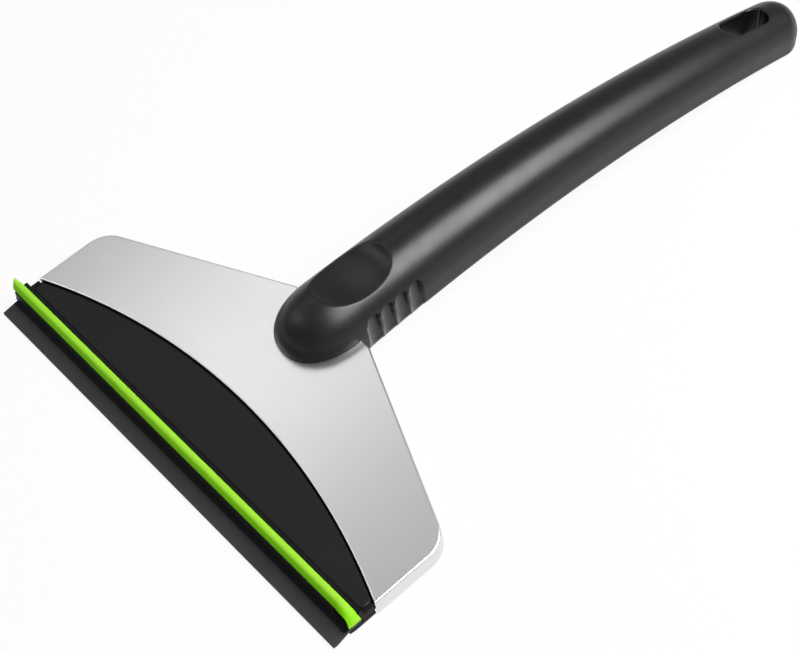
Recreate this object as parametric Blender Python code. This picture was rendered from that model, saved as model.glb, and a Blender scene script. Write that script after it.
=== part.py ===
"""Ice scraper with an arched handle, a pressed steel plate and a scraping blade with a lock bead.

The pieces are drawn in the plate's own frame: X along the blade, Y from the blade to the
handle, Z up from the plate's top face. One empty then tilts that frame so that the blade's
edge and the heel under the handle's end both rest on Z = 0, with the middle of the edge's
flat land at the origin. All sizes are in metres.
"""
import bpy
import bmesh
import math
from mathutils import Matrix, Vector

MM = 0.001

# Steel plate
PLATE_WIDTH = 180.8 * MM
PLATE_SHEET = 1.0 * MM
PLATE_RIM_DEPTH = 6.0 * MM
PLATE_RIM_BEND = 0.8 * MM
PLATE_SIDE_LENGTH = 28.1 * MM
PLATE_CORNER_RADIUS = 10.5 * MM
PLATE_SLOPE_ANGLE = math.radians(23.4)
NECK_SHOULDER_Y = 59.0 * MM
FRONT_ARC_RISE = 17.6 * MM
TANG_HALF_WIDTH = 9.5 * MM
TANG_LENGTH = 26.0 * MM

# Holder, cover and clamp
HOLDER_END_CLEARANCE = 0.15 * MM
HOLDER_WIDTH = PLATE_WIDTH - 2 * HOLDER_END_CLEARANCE
HOLDER_FRONT_Y = -10.3 * MM
HOLDER_REAR_BAND = 9.0 * MM
HOLDER_BOTTOM_Z = -5.3 * MM
HOLDER_END_TOP_Z = -0.8 * MM
COVER_TOP_Z = -0.7 * MM
COVER_THICKNESS = 1.3 * MM
COVER_ARC_GAP = 0.5 * MM
COVER_END_MARGIN = 1.7 * MM
COVER_EDGE_CHAMFER = 0.5 * MM
COVER_END_RADIUS = 1.6 * MM
COVER_BOSS_RADIUS = 2.2 * MM
COVER_BOSS_LENGTH = 1.6 * MM
CLAMP_THICKNESS = 1.4 * MM
CLAMP_REAR_Y = 4.0 * MM
CLAMP_CHAMFER = 0.5 * MM
CLAMP_FRONT_TAPER = 2.0 * MM

# Scraping blade and lock bead
BLADE_ROOT_THICKNESS = 1.0 * MM
BLADE_ROOT_DEPTH = 4.8 * MM
BLADE_REACH = 6.3 * MM
BLADE_TIP_TOP_Z = -3.5 * MM
BLADE_TIP_Z = -4.9 * MM
BLADE_LAND = 1.6 * MM
BEAD_Y = -7.7 * MM
BEAD_FOOT_HALF = 1.6 * MM
BEAD_NECK_HALF = 1.1 * MM
BEAD_HEAD_HALF = 1.9 * MM
BEAD_TOP_Z = 4.1 * MM
BEAD_FLOOR_Z = -0.6 * MM
BEAD_FOOT_HEIGHT = 1.2 * MM
CHANNEL_FRONT_TOP_Z = 1.5 * MM
CHANNEL_BACK_TOP_Z = 1.9 * MM
CHANNEL_BACK_WALL = 1.3 * MM
CHANNEL_FRONT_DRAFT = 0.6 * MM
BEAD_TIP_OVERHANG = 2.5 * MM
BEAD_FLARE_HALF = 2.65 * MM
BEAD_FLARE_LENGTH = 6.0 * MM
BEAD_FLARE_OVERHANG = 1.0 * MM
BEAD_FLARE_TOP_Z = 1.0 * MM
BEAD_TIP_SHIFT = 0.9 * MM
BEAD_TIP_RISE = 1.0 * MM
NOTCH_FLOOR_Z = -0.3 * MM

# Handle
HANDLE_NOSE_Y = 38.2 * MM
HANDLE_NOSE_LENGTH = 19.8 * MM
NOSE_ROUNDNESS = 2.3
HANDLE_END_Y = 280.5 * MM
HANDLE_END_ROUND = 10.9 * MM
HANDLE_END_LEAN = 0.2
HANDLE_LEAN_LENGTH = 30.0 * MM
NOSE_HALF_WIDTH = 15.0 * MM
END_HALF_WIDTH = 10.85 * MM
ARCH_CROWN_Y = 73.8 * MM
ARCH_CROWN_Z = -1.2 * MM
ARCH_RADIUS = 740.0 * MM
RIM_DROP = 4.5 * MM
HANDLE_WALL = 2.4 * MM
HANDLE_FRONT_GAP = 0.3 * MM
CAVITY_FRONT_Y = 46.0 * MM
CAVITY_FROM_END = 42.5 * MM
CAVITY_END_Y = HANDLE_END_Y - CAVITY_FROM_END
CAVITY_ROOF_UNDER_THUMB_Z = 6.5 * MM
CAVITY_ROOF_RAMP = 14.0 * MM
THUMB_CENTRE_Y = 68.1 * MM
THUMB_CENTRE_Z = 18.2 * MM
THUMB_HALF_LENGTH = 17.7 * MM
THUMB_HALF_WIDTH = 26.0 * MM
THUMB_HALF_HEIGHT = 9.0 * MM
THUMB_TILT = math.radians(6.3)
FLUTE_COUNT = 4
FLUTE_FIRST_Y = 65.1 * MM
FLUTE_PITCH = 6.1 * MM
FLUTE_RADIUS = 3.4 * MM
FLUTE_DEPTH = 1.9 * MM
FLUTE_ROUND_Z = -1.0 * MM
FLUTE_ROUND_HEIGHT = 6.0 * MM
FLUTE_LEAN = 0.5 * MM
SLOT_FROM_END = 23.9 * MM
SLOT_CENTRE_Y = HANDLE_END_Y - SLOT_FROM_END
SLOT_LENGTH = 22.4 * MM
SLOT_WIDTH = 9.6 * MM

# Handle bottom shell
BELLY_DEPTH = 3.0 * MM
BELLY_EDGE_RADIUS = 2.6 * MM
BOTTOM_SHELL_INSET = 0.2 * MM
LOCATING_RIB_HEIGHT = 2.0 * MM
LOCATING_RIB_THICKNESS = 1.2 * MM
LOCATING_RIB_START_Y = 66.0 * MM
LOCATING_RIB_INSET = 2.0 * MM
LOCATING_RIB_END_Y = CAVITY_END_Y - LOCATING_RIB_INSET
FRONT_WALL_THICKNESS = 2.0 * MM
SCREW_SEAT_THICKNESS = 1.4 * MM
SCREW_SEAT_RISE = 0.2 * MM
SEAT_BOSS_RADIUS = 4.6 * MM
HEEL_FROM_END = 10.5 * MM
HEEL_Y = HANDLE_END_Y - HEEL_FROM_END
HEEL_FLAT_DEPTH = 0.4 * MM

# Fasteners
HANDLE_SCREW_YS = [104.0 * MM, 150.0 * MM, CAVITY_END_Y - 46.0 * MM, CAVITY_END_Y - 10.0 * MM]
HANDLE_SCREW_LENGTH = 9.0 * MM
HANDLE_BOSS_RADIUS = 3.6 * MM
HANDLE_BOSS_COVER = 1.4 * MM
TANG_SCREW_YS = [67.0 * MM, 79.0 * MM]
TANG_SCREW_LENGTH = 6.2 * MM
TANG_BOSS_RADIUS = 3.6 * MM
SCREW_SHANK_RADIUS = 1.45 * MM
SCREW_HEAD_RADIUS = 2.75 * MM
SCREW_HEAD_HEIGHT = 2.0 * MM
FIVE_ABREAST = (-1.0, -0.5, 0.0, 0.5, 1.0)
CLAMP_SCREW_END_MARGIN = 14.25 * MM
CLAMP_SCREW_Y = 0.5 * MM
CLAMP_SCREW_RADIUS = 1.1 * MM
CLAMP_SCREW_HEAD_RADIUS = 2.2 * MM
CLAMP_SCREW_HEAD_HEIGHT = 1.0 * MM
CLAMP_SCREW_LENGTH = 3.2 * MM
CLAMP_SCREW_SINK = 0.2 * MM
STUD_END_MARGIN = 20.4 * MM
STUD_BEHIND_ARC = 4.8 * MM
STUD_RADIUS = 1.5 * MM
STUD_LENGTH = 4.0 * MM
NUT_ACROSS_FLATS = 5.5 * MM
NUT_HEIGHT = 1.8 * MM

# Fits
GAP = 0.3 * MM
HOLE_CLEARANCE = 0.3 * MM
POCKET_CLEARANCE = 0.4 * MM

# Facets
ARC_STEPS = 20
ROUND_SEGMENTS = 24
CORNER_STEPS = 5
STATION_STEP = 7.0 * MM
NOSE_TURNS = (88, 78, 66, 54, 42, 30, 15)
END_TURNS = (18, 34, 48, 60, 70, 79, 87)

HALF_PLATE = PLATE_WIDTH / 2
FRONT_ARC_RADIUS = (HALF_PLATE ** 2 + FRONT_ARC_RISE ** 2) / (2 * FRONT_ARC_RISE)
FRONT_ARC_CENTRE_Y = FRONT_ARC_RISE - FRONT_ARC_RADIUS
HOLDER_HALF = HOLDER_WIDTH / 2
CLAMP_SCREW_XS = [(HOLDER_HALF - CLAMP_SCREW_END_MARGIN) * share for share in FIVE_ABREAST]
STUD_XS = [(HALF_PLATE - STUD_END_MARGIN) * share for share in FIVE_ABREAST]
HANDLE_FRONT_Y = NECK_SHOULDER_Y + HANDLE_FRONT_GAP
PAST = 2.0 * MM
PAST_STEP = 0.5 * MM
OVERLAP = 0.1 * MM


# Handle lines

def grip_half_width(y):
    """Half width of the handle at y, without the rounding of the nose and the end."""
    start = HANDLE_NOSE_Y + HANDLE_NOSE_LENGTH
    end = HANDLE_END_Y - HANDLE_END_ROUND
    t = min(max((y - start) / (end - start), 0.0), 1.0)
    return NOSE_HALF_WIDTH + (END_HALF_WIDTH - NOSE_HALF_WIDTH) * t


def arch_z(y):
    """Height of the handle's centre line, one large arc with its crown near the neck."""
    run = y - ARCH_CROWN_Y
    return ARCH_CROWN_Z - ARCH_RADIUS + math.sqrt(ARCH_RADIUS ** 2 - run ** 2)


def rim_z(y):
    """Height of the top shell's lower rim."""
    return arch_z(y) - RIM_DROP


def belly_z(y):
    """Height of the bottom shell's underside."""
    return rim_z(y) - BELLY_DEPTH


def nose_scale(y):
    """How far the section has opened at y, from 0 at the nose's tip to 1."""
    run = (HANDLE_NOSE_Y + HANDLE_NOSE_LENGTH - y) / HANDLE_NOSE_LENGTH
    if run <= 0:
        return 1.0
    return max(1 - run ** NOSE_ROUNDNESS, 0.0) ** (1 / NOSE_ROUNDNESS)


def end_scale(y, roundness=2.0):
    """How far the section has closed at y, from 1 down to 0 at the handle's end."""
    run = (y - HANDLE_END_Y + HANDLE_END_ROUND) / HANDLE_END_ROUND
    if run <= 0:
        return 1.0
    return max(1 - run ** roundness, 0.0) ** (1 / roundness)


def lean_back(y, z):
    """Y and Z of a point of the section at y, which leans towards the end to stay square to the arch."""
    turn = HANDLE_END_Y - HANDLE_END_ROUND
    t = min(max((y - turn + HANDLE_LEAN_LENGTH) / HANDLE_LEAN_LENGTH, 0.0), 1.0)
    lean = HANDLE_END_LEAN * t * t * (3 - 2 * t)
    slope = (y - ARCH_CROWN_Y) / ARCH_RADIUS
    rise = (z - arch_z(y)) / (1 + lean * slope)
    return y + rise * lean, arch_z(y) + rise


def stations(start, end, step):
    """Even stations from start to end, about step apart."""
    count = max(2, round((end - start) / step))
    return [start + (end - start) * i / count for i in range(count + 1)]


def end_stations():
    """Stations round the handle's end, closer together where it turns."""
    turn = HANDLE_END_Y - HANDLE_END_ROUND
    return [turn + HANDLE_END_ROUND * math.sin(math.radians(a)) for a in END_TURNS]


def handle_stations():
    """Stations along the whole handle, closer together where the nose and the end turn."""
    full = HANDLE_NOSE_Y + HANDLE_NOSE_LENGTH
    turn = HANDLE_END_Y - HANDLE_END_ROUND
    nose = [full - HANDLE_NOSE_LENGTH * math.sin(math.radians(a)) for a in NOSE_TURNS]
    return nose + stations(full, turn, STATION_STEP) + end_stations()


# Lower-level modelling

def clear_scene():
    """Remove what the file opened with."""
    for item in list(bpy.data.objects):
        bpy.data.objects.remove(item, do_unlink=True)


def make_material(name, colour, roughness, metallic=0.0):
    """A Principled BSDF material."""
    material = bpy.data.materials.new(name)
    material.use_nodes = True
    shader = material.node_tree.nodes["Principled BSDF"]
    shader.inputs["Base Color"].default_value = (*colour, 1.0)
    shader.inputs["Roughness"].default_value = roughness
    shader.inputs["Metallic"].default_value = metallic
    return material


def make_mesh(name, bm):
    """Turn a bmesh into a mesh whose faces point outwards."""
    bmesh.ops.recalc_face_normals(bm, faces=bm.faces)
    mesh = bpy.data.meshes.new(name)
    bm.to_mesh(mesh)
    bm.free()
    return mesh


def place(name, mesh, frame, material=None, location=(0.0, 0.0, 0.0)):
    """Add an object under the given empty, or in world space if frame is None."""
    item = bpy.data.objects.new(name, mesh)
    bpy.context.scene.collection.objects.link(item)
    item.parent = frame
    item.location = location
    if material and not mesh.materials:
        mesh.materials.append(material)
    mesh.shade_smooth()
    mesh.set_sharp_from_angle(angle=math.radians(35))
    return item


def apply_tool(target, name, bm, frame, operation):
    """Add an exact Boolean modifier with a shape that never shows."""
    tool = place(name, make_mesh(name, bm), frame)
    tool.hide_render = True
    tool.display_type = 'WIRE'
    modifier = target.modifiers.new(name, 'BOOLEAN')
    modifier.operation = operation
    modifier.solver = 'EXACT'
    modifier.object = tool


def cut(target, name, bm, frame):
    """Cut a shape out of the target."""
    apply_tool(target, name, bm, frame, 'DIFFERENCE')


def join(target, name, bm, frame):
    """Join a shape to the target."""
    apply_tool(target, name, bm, frame, 'UNION')


def add_loft(bm, rings):
    """Add a closed body through rings of equally many points, capped at both ends."""
    rows = [[bm.verts.new(point) for point in ring] for ring in rings]
    count = len(rows[0])
    for low, high in zip(rows, rows[1:]):
        for i in range(count):
            j = (i + 1) % count
            bm.faces.new((low[i], low[j], high[j], high[i]))
    bm.faces.new(rows[0])
    bm.faces.new(rows[-1])


def loft_mesh(name, rings):
    """A mesh of one lofted body."""
    bm = bmesh.new()
    add_loft(bm, rings)
    return make_mesh(name, bm)


def add_prism(bm, outline, low, high):
    """Add an upright prism of a plan outline between two heights."""
    add_loft(bm, [[(x, y, z) for x, y in outline] for z in (low, high)])


def circle(x, y, radius, segments=ROUND_SEGMENTS):
    """Plan outline of a circle."""
    turns = [2 * math.pi * i / segments for i in range(segments)]
    return [(x + radius * math.cos(a), y + radius * math.sin(a)) for a in turns]


def box_outline(x_low, x_high, y_low, y_high):
    """Plan outline of a rectangle."""
    return [(x_low, y_low), (x_high, y_low), (x_high, y_high), (x_low, y_high)]


def add_box(bm, x_range, y_range, z_range):
    """Add a box between three pairs of limits."""
    add_prism(bm, box_outline(*x_range, *y_range), *z_range)


def add_turned(bm, rings, closed=False, segments=ROUND_SEGMENTS):
    """Add rings of (height, radius function of a turn index); a closed stack is a torus."""
    rows = []
    for z, radius_at in rings:
        row = []
        for i in range(segments):
            angle = 2 * math.pi * i / segments
            radius = radius_at(i)
            row.append(bm.verts.new((radius * math.cos(angle), radius * math.sin(angle), z)))
        rows.append(row)
    pairs = list(zip(rows, rows[1:]))
    if closed:
        pairs.append((rows[-1], rows[0]))
    for low, high in pairs:
        for i in range(segments):
            j = (i + 1) % segments
            bm.faces.new((low[i], low[j], high[j], high[i]))
    if not closed:
        bm.faces.new(rows[0])
        bm.faces.new(rows[-1])


def arc_points(cx, cy, radius, start, end, steps):
    """Points of an arc from start to end, angles in radians."""
    return [(cx + radius * math.cos(start + (end - start) * i / steps),
             cy + radius * math.sin(start + (end - start) * i / steps)) for i in range(steps + 1)]


def inset_outline(points, distance):
    """Move each point of a closed outline inwards, square to both of its edges."""
    area = sum(a[0] * b[1] - b[0] * a[1] for a, b in zip(points, points[1:] + points[:1]))
    side = 1 if area > 0 else -1
    result = []
    for i, (x, y) in enumerate(points):
        before = Vector(points[i - 1])
        here = Vector((x, y))
        after = Vector(points[(i + 1) % len(points)])
        first = (here - before).normalized()
        second = (after - here).normalized()
        normal = Vector((-first.y - second.y, first.x + second.x)).normalized() * side
        stretch = normal.dot(Vector((-first.y, first.x)) * side)
        result.append(tuple(here + normal * distance / stretch))
    return result


def mirror_x(points):
    """The same outline points on the other side, in reverse order."""
    return [(-x, y) for x, y in reversed(points)]


def arc_y(x, radius):
    """Height in plan of an arc about the front arc's centre."""
    return FRONT_ARC_CENTRE_Y + math.sqrt(radius ** 2 - x ** 2)


def front_arc(half, radius, steps=ARC_STEPS):
    """Plan points along an arc about the front arc's centre, from +half to -half."""
    angle = math.asin(half / radius)
    return arc_points(0.0, FRONT_ARC_CENTRE_Y, radius, math.pi / 2 - angle, math.pi / 2 + angle, steps)


# Steel plate

def plate_outline():
    """Plan of the plate with its tang and square front, before the front arc is cut."""
    lean = math.pi / 2 - PLATE_SLOPE_ANGLE
    tangent = PLATE_CORNER_RADIUS * math.tan(lean / 2)
    corner_y = PLATE_SIDE_LENGTH - tangent
    centre = (HALF_PLATE - PLATE_CORNER_RADIUS, corner_y)
    corner = arc_points(*centre, PLATE_CORNER_RADIUS, 0.0, lean, CORNER_STEPS)
    drop = (NECK_SHOULDER_Y - PLATE_SIDE_LENGTH) / math.tan(PLATE_SLOPE_ANGLE)
    shoulder = [(HALF_PLATE - drop, NECK_SHOULDER_Y), (TANG_HALF_WIDTH, NECK_SHOULDER_Y)]
    tang = [(TANG_HALF_WIDTH, NECK_SHOULDER_Y + TANG_LENGTH)]
    right = [(HALF_PLATE, HOLDER_FRONT_Y)] + corner + shoulder + tang
    return right + mirror_x(right)


def rim_room_outline():
    """Plan of the room inside the turned-down rim; it runs out at the front and over the tang."""
    outline = inset_outline(plate_outline(), PLATE_SHEET)
    room = []
    for x, y in outline:
        sign = 1 if x > 0 else -1
        if y < 0:
            room.append((x, HOLDER_FRONT_Y - PAST))
        elif y < NECK_SHOULDER_Y - PLATE_SHEET * 2:
            room.append((x, y))
        elif y > NECK_SHOULDER_Y + PAST:
            room.append((sign * (TANG_HALF_WIDTH + PAST), y + PAST + PLATE_SHEET))
        elif abs(x) > TANG_HALF_WIDTH + PAST:
            step = NECK_SHOULDER_Y + PAST - y
            room.append((x - sign * step / math.tan(PLATE_SLOPE_ANGLE), NECK_SHOULDER_Y + PAST))
        else:
            room.append((sign * (TANG_HALF_WIDTH + PAST), NECK_SHOULDER_Y + PAST))
    return room


def stud_places():
    """Plan places of the weld studs, which follow the front arc."""
    return [(x, arc_y(x, FRONT_ARC_RADIUS) + STUD_BEHIND_ARC) for x in STUD_XS]


def build_plate(frame, material):
    """Pressed sheet with a turned-down rim, an arc cut at the front, a tang and weld studs."""
    outline = plate_outline()
    rings = []
    for i in range(4):
        turn = math.pi / 2 * i / 3
        inset = PLATE_RIM_BEND * (1 - math.sin(turn))
        z = -PLATE_RIM_BEND * (1 - math.cos(turn))
        rings.append([(x, y, z) for x, y in inset_outline(outline, inset)])
    rings.append([(x, y, -PLATE_RIM_DEPTH) for x, y in outline])
    plate = place("scraper_plate", loft_mesh("scraper_plate", rings), frame, material)

    room = bmesh.new()
    add_prism(room, rim_room_outline(), -PLATE_RIM_DEPTH - PAST, -PLATE_SHEET)
    cut(plate, "cut_rim_room", room, frame)

    front = bmesh.new()
    reach = HALF_PLATE + PAST
    edge = front_arc(HALF_PLATE, FRONT_ARC_RADIUS)
    low = HOLDER_FRONT_Y - PAST
    outline = [(-reach, low), (reach, low), (reach, edge[0][1])] + edge + [(-reach, edge[-1][1])]
    add_prism(front, outline, -PLATE_RIM_DEPTH - PAST, PAST)
    cut(plate, "cut_front_arc", front, frame)

    studs = bmesh.new()
    for x, y in stud_places():
        add_prism(studs, circle(x, y, STUD_RADIUS), -PLATE_SHEET - STUD_LENGTH, -PLATE_SHEET / 2)
    join(plate, "join_studs", studs, frame)

    holes = bmesh.new()
    for y in TANG_SCREW_YS:
        add_prism(holes, circle(0.0, y, SCREW_SHANK_RADIUS + HOLE_CLEARANCE), -PLATE_SHEET - PAST, PAST)
    cut(plate, "cut_tang_holes", holes, frame)
    return plate


# Holder bar, lens cover and clamp bar

COVER_BOTTOM_Z = COVER_TOP_Z - COVER_THICKNESS
WEB_TOP_Z = COVER_BOTTOM_Z - GAP
CLAMP_TOP_Z = HOLDER_BOTTOM_Z + CLAMP_THICKNESS
WEB_BOTTOM_Z = CLAMP_TOP_Z + GAP
BLADE_ROOT_BOTTOM_Z = CLAMP_TOP_Z + GAP
BLADE_ROOT_TOP_Z = BLADE_ROOT_BOTTOM_Z + BLADE_ROOT_THICKNESS
BLADE_ROOT_Y = HOLDER_FRONT_Y + BLADE_ROOT_DEPTH
CHANNEL_BACK_Y = BEAD_Y + BEAD_FOOT_HALF + GAP + CHANNEL_BACK_WALL
COVER_FRONT_Y = CHANNEL_BACK_Y + GAP
COVER_HALF = HOLDER_HALF - COVER_END_MARGIN
COVER_ARC_RADIUS = FRONT_ARC_RADIUS - COVER_ARC_GAP
INNER_HALF = HALF_PLATE - PLATE_SHEET - POCKET_CLEARANCE
HOLDER_TOP_Z = -PLATE_SHEET - GAP


def cover_outline(grow=0.0):
    """Plan of the lens cover: a circular segment with short round ends."""
    half = COVER_HALF + grow
    radius = COVER_ARC_RADIUS + grow
    front = COVER_FRONT_Y - grow
    arc = front_arc(half, radius)
    depth = arc[0][1] - front
    turn = min(depth / 2, COVER_END_RADIUS)
    right = arc_points(half - turn, front + turn, turn, -math.pi / 2, 0.0, 3)
    left = arc_points(-half + turn, front + turn, turn, math.pi, 1.5 * math.pi, 3)
    return right + arc + left


def holder_outline():
    """Plan of the holder bar before its ends are cut: straight front, arc at the back under the plate."""
    rear = front_arc(INNER_HALF, FRONT_ARC_RADIUS + HOLDER_REAR_BAND)
    step_y = arc_y(HALF_PLATE, FRONT_ARC_RADIUS) - POCKET_CLEARANCE
    half = HOLDER_HALF + PAST
    right = [(half, HOLDER_FRONT_Y), (half, step_y), (INNER_HALF, step_y)]
    left = mirror_x(right)
    return right + rear + left


def build_holder(frame, material):
    """Black bar that carries the blade, the bead and the cover, and is bolted to the plate."""
    body = bmesh.new()
    add_prism(body, holder_outline(), HOLDER_BOTTOM_Z, HOLDER_TOP_Z)
    holder = place("blade_holder", make_mesh("blade_holder", body), frame, material)

    top = bmesh.new()
    rise_y = arc_y(HALF_PLATE, FRONT_ARC_RADIUS) - POCKET_CLEARANCE - OVERLAP
    low = HOLDER_TOP_Z - GAP
    high = HOLDER_END_TOP_Z
    wall_front = HOLDER_FRONT_Y + OVERLAP
    wall_back = CHANNEL_BACK_Y + OVERLAP
    wall_middle = CHANNEL_BACK_Y - CHANNEL_BACK_WALL / 2
    back = [(wall_middle, low), (rise_y, low), (rise_y, high), (wall_middle, high)]
    reach = HOLDER_HALF + PAST - PAST_STEP
    add_loft(top, [[(x, y, z) for y, z in back] for x in (-reach, reach)])
    wall = [(wall_front, low), (wall_back, low), (wall_back, CHANNEL_BACK_TOP_Z),
            (BEAD_Y, CHANNEL_BACK_TOP_Z), (BEAD_Y, CHANNEL_FRONT_TOP_Z),
            (HOLDER_FRONT_Y + CHANNEL_FRONT_DRAFT, CHANNEL_FRONT_TOP_Z)]
    walls = bmesh.new()
    reach = HOLDER_HALF + PAST - 2 * PAST_STEP
    add_loft(walls, [[(x, y, z) for y, z in wall] for x in (-reach, reach)])
    join(holder, "join_end_rise", top, frame)
    join(holder, "join_channel_walls", walls, frame)

    ends = bmesh.new()
    for side in (-1, 1):
        x = sorted((side * HOLDER_HALF, side * (HOLDER_HALF + 2 * PAST)))
        add_box(ends, x, (HOLDER_FRONT_Y - PAST, rise_y + 2 * PAST), (HOLDER_BOTTOM_Z - PAST, BEAD_TOP_Z))
    cut(holder, "cut_ends", ends, frame)

    pocket = bmesh.new()
    add_prism(pocket, cover_outline(GAP), WEB_TOP_Z, PAST)
    cut(holder, "cut_cover_pocket", pocket, frame)

    cuts = bmesh.new()
    channel = channel_section()
    add_loft(cuts, [[(x, y, z) for y, z in channel] for x in (-HOLDER_HALF - PAST, HOLDER_HALF + PAST)])
    slot = [(HOLDER_FRONT_Y - PAST, HOLDER_BOTTOM_Z - PAST), (CLAMP_REAR_Y + GAP, HOLDER_BOTTOM_Z - PAST),
            (CLAMP_REAR_Y + GAP, WEB_BOTTOM_Z), (BLADE_ROOT_Y + GAP, WEB_BOTTOM_Z),
            (BLADE_ROOT_Y + GAP, BLADE_ROOT_TOP_Z + GAP), (HOLDER_FRONT_Y - PAST, BLADE_ROOT_TOP_Z + GAP)]
    add_loft(cuts, [[(x, y, z) for y, z in slot] for x in (-HOLDER_HALF - PAST, HOLDER_HALF + PAST)])
    cut(holder, "cut_channels", cuts, frame)

    wells = bmesh.new()
    nut_seat = -PLATE_SHEET - STUD_LENGTH + NUT_HEIGHT + GAP
    for x, y in stud_places():
        rings = [(HOLDER_BOTTOM_Z - PAST, nut_pocket_radius()), (nut_seat, nut_pocket_radius()),
                 (nut_seat, STUD_RADIUS + HOLE_CLEARANCE), (PAST, STUD_RADIUS + HOLE_CLEARANCE)]
        add_loft(wells, [[(px, py, z) for px, py in circle(x, y, radius)] for z, radius in rings])
    cut(holder, "cut_nut_wells", wells, frame)

    notch = bmesh.new()
    add_box(notch, (HOLDER_HALF - BEAD_FLARE_LENGTH - GAP, HOLDER_HALF + PAST),
            (HOLDER_FRONT_Y - PAST, CHANNEL_BACK_Y - GAP), (NOTCH_FLOOR_Z, BEAD_TOP_Z + PAST))
    cut(holder, "cut_bead_notch", notch, frame)

    bores = bmesh.new()
    for x in CLAMP_SCREW_XS:
        bore = circle(x, CLAMP_SCREW_Y, COVER_BOSS_RADIUS + HOLE_CLEARANCE)
        add_prism(bores, bore, HOLDER_BOTTOM_Z - PAST, PAST)
    cut(holder, "cut_boss_bores", bores, frame)
    return holder


def nut_pocket_radius():
    """Radius of the round pocket that takes a nut and a thin socket."""
    return NUT_ACROSS_FLATS / math.sqrt(3) + POCKET_CLEARANCE


def channel_section():
    """Section of the bead's channel in Y and Z: a wide foot below two lips."""
    lip = BEAD_FLOOR_Z + BEAD_FOOT_HEIGHT + GAP
    top = BEAD_TOP_Z + PAST
    foot = BEAD_FOOT_HALF + GAP
    neck = BEAD_NECK_HALF + GAP
    right = [(foot, BEAD_FLOOR_Z), (foot, lip), (neck, lip), (neck, top)]
    left = [(-y, z) for y, z in reversed(right)]
    return [(BEAD_Y + y, z) for y, z in right + left]


def build_cover(frame, material):
    """Lens-shaped cover with five screw bosses under it."""
    outline = cover_outline()
    inner = inset_outline(outline, COVER_EDGE_CHAMFER)
    rings = [[(x, y, COVER_BOTTOM_Z) for x, y in outline],
             [(x, y, COVER_TOP_Z - COVER_EDGE_CHAMFER) for x, y in outline],
             [(x, y, COVER_TOP_Z) for x, y in inner]]
    cover = place("lens_cover", loft_mesh("lens_cover", rings), frame, material)
    bosses = bmesh.new()
    pilots = bmesh.new()
    boss_low = COVER_BOTTOM_Z - COVER_BOSS_LENGTH
    middle = COVER_BOTTOM_Z + COVER_THICKNESS / 2
    for x in CLAMP_SCREW_XS:
        add_prism(bosses, circle(x, CLAMP_SCREW_Y, COVER_BOSS_RADIUS), boss_low, middle)
        add_prism(pilots, circle(x, CLAMP_SCREW_Y, CLAMP_SCREW_RADIUS + GAP / 2), boss_low - PAST, middle)
    join(cover, "join_cover_bosses", bosses, frame)
    cut(cover, "cut_cover_pilots", pilots, frame)
    return cover


def build_clamp(frame, material):
    """Flat bar that presses the blade's root up into the holder."""
    levels = [(HOLDER_BOTTOM_Z, CLAMP_FRONT_TAPER), (HOLDER_BOTTOM_Z + CLAMP_CHAMFER, 0.0),
              (CLAMP_TOP_Z, 0.0)]
    step_y = arc_y(HALF_PLATE, FRONT_ARC_RADIUS) - POCKET_CLEARANCE
    rings = []
    for z, back_off in levels:
        right = [(HOLDER_HALF, HOLDER_FRONT_Y + back_off), (HOLDER_HALF, step_y), (INNER_HALF, step_y),
                 (INNER_HALF, CLAMP_REAR_Y)]
        rings.append([(x, y, z) for x, y in right + mirror_x(right)])
    mesh = loft_mesh("clamp_bar", rings)
    clamp = place("clamp_bar", mesh, frame, material)
    holes = bmesh.new()
    for x in CLAMP_SCREW_XS:
        head_top = HOLDER_BOTTOM_Z + CLAMP_SCREW_HEAD_HEIGHT
        clear = HOLE_CLEARANCE
        rings = [(HOLDER_BOTTOM_Z - PAST, CLAMP_SCREW_HEAD_RADIUS + clear),
                 (HOLDER_BOTTOM_Z + CLAMP_SCREW_SINK, CLAMP_SCREW_HEAD_RADIUS + clear),
                 (head_top + clear / 2, CLAMP_SCREW_RADIUS + clear),
                 (CLAMP_TOP_Z + PAST, CLAMP_SCREW_RADIUS + clear)]
        add_loft(holes, [[(px, py, z) for px, py in circle(x, CLAMP_SCREW_Y, radius)] for z, radius in rings])
    cut(clamp, "cut_clamp_holes", holes, frame)
    return clamp


# Blade and bead

def rest_points():
    """The two points in Y and Z that the scraper rests on: blade tip and heel."""
    tip = Vector((HOLDER_FRONT_Y - BLADE_REACH, BLADE_TIP_Z))
    heel = Vector((HEEL_Y, belly_z(HEEL_Y) + HEEL_FLAT_DEPTH))
    return tip, heel


def rest_tilt():
    """Angle that brings the blade's tip and the heel level."""
    tip, heel = rest_points()
    return math.atan2(tip.y - heel.y, heel.x - tip.x)


def build_blade(frame, material):
    """Scraping blade: a flat root in the holder and a lip that leans down to a flat land."""
    tip, _ = rest_points()
    tilt = rest_tilt()
    land_end = (tip.x + BLADE_LAND * math.cos(tilt), tip.y - BLADE_LAND * math.sin(tilt))
    section = [(BLADE_ROOT_Y, BLADE_ROOT_TOP_Z), (HOLDER_FRONT_Y, BLADE_ROOT_TOP_Z),
               (tip.x, BLADE_TIP_TOP_Z), (tip.x, tip.y), land_end,
               (HOLDER_FRONT_Y - GAP, BLADE_ROOT_BOTTOM_Z), (BLADE_ROOT_Y, BLADE_ROOT_BOTTOM_Z)]
    mesh = loft_mesh("scraper_blade", [[(x, y, z) for y, z in section] for x in (-HOLDER_HALF, HOLDER_HALF)])
    return place("scraper_blade", mesh, frame, material)


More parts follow.
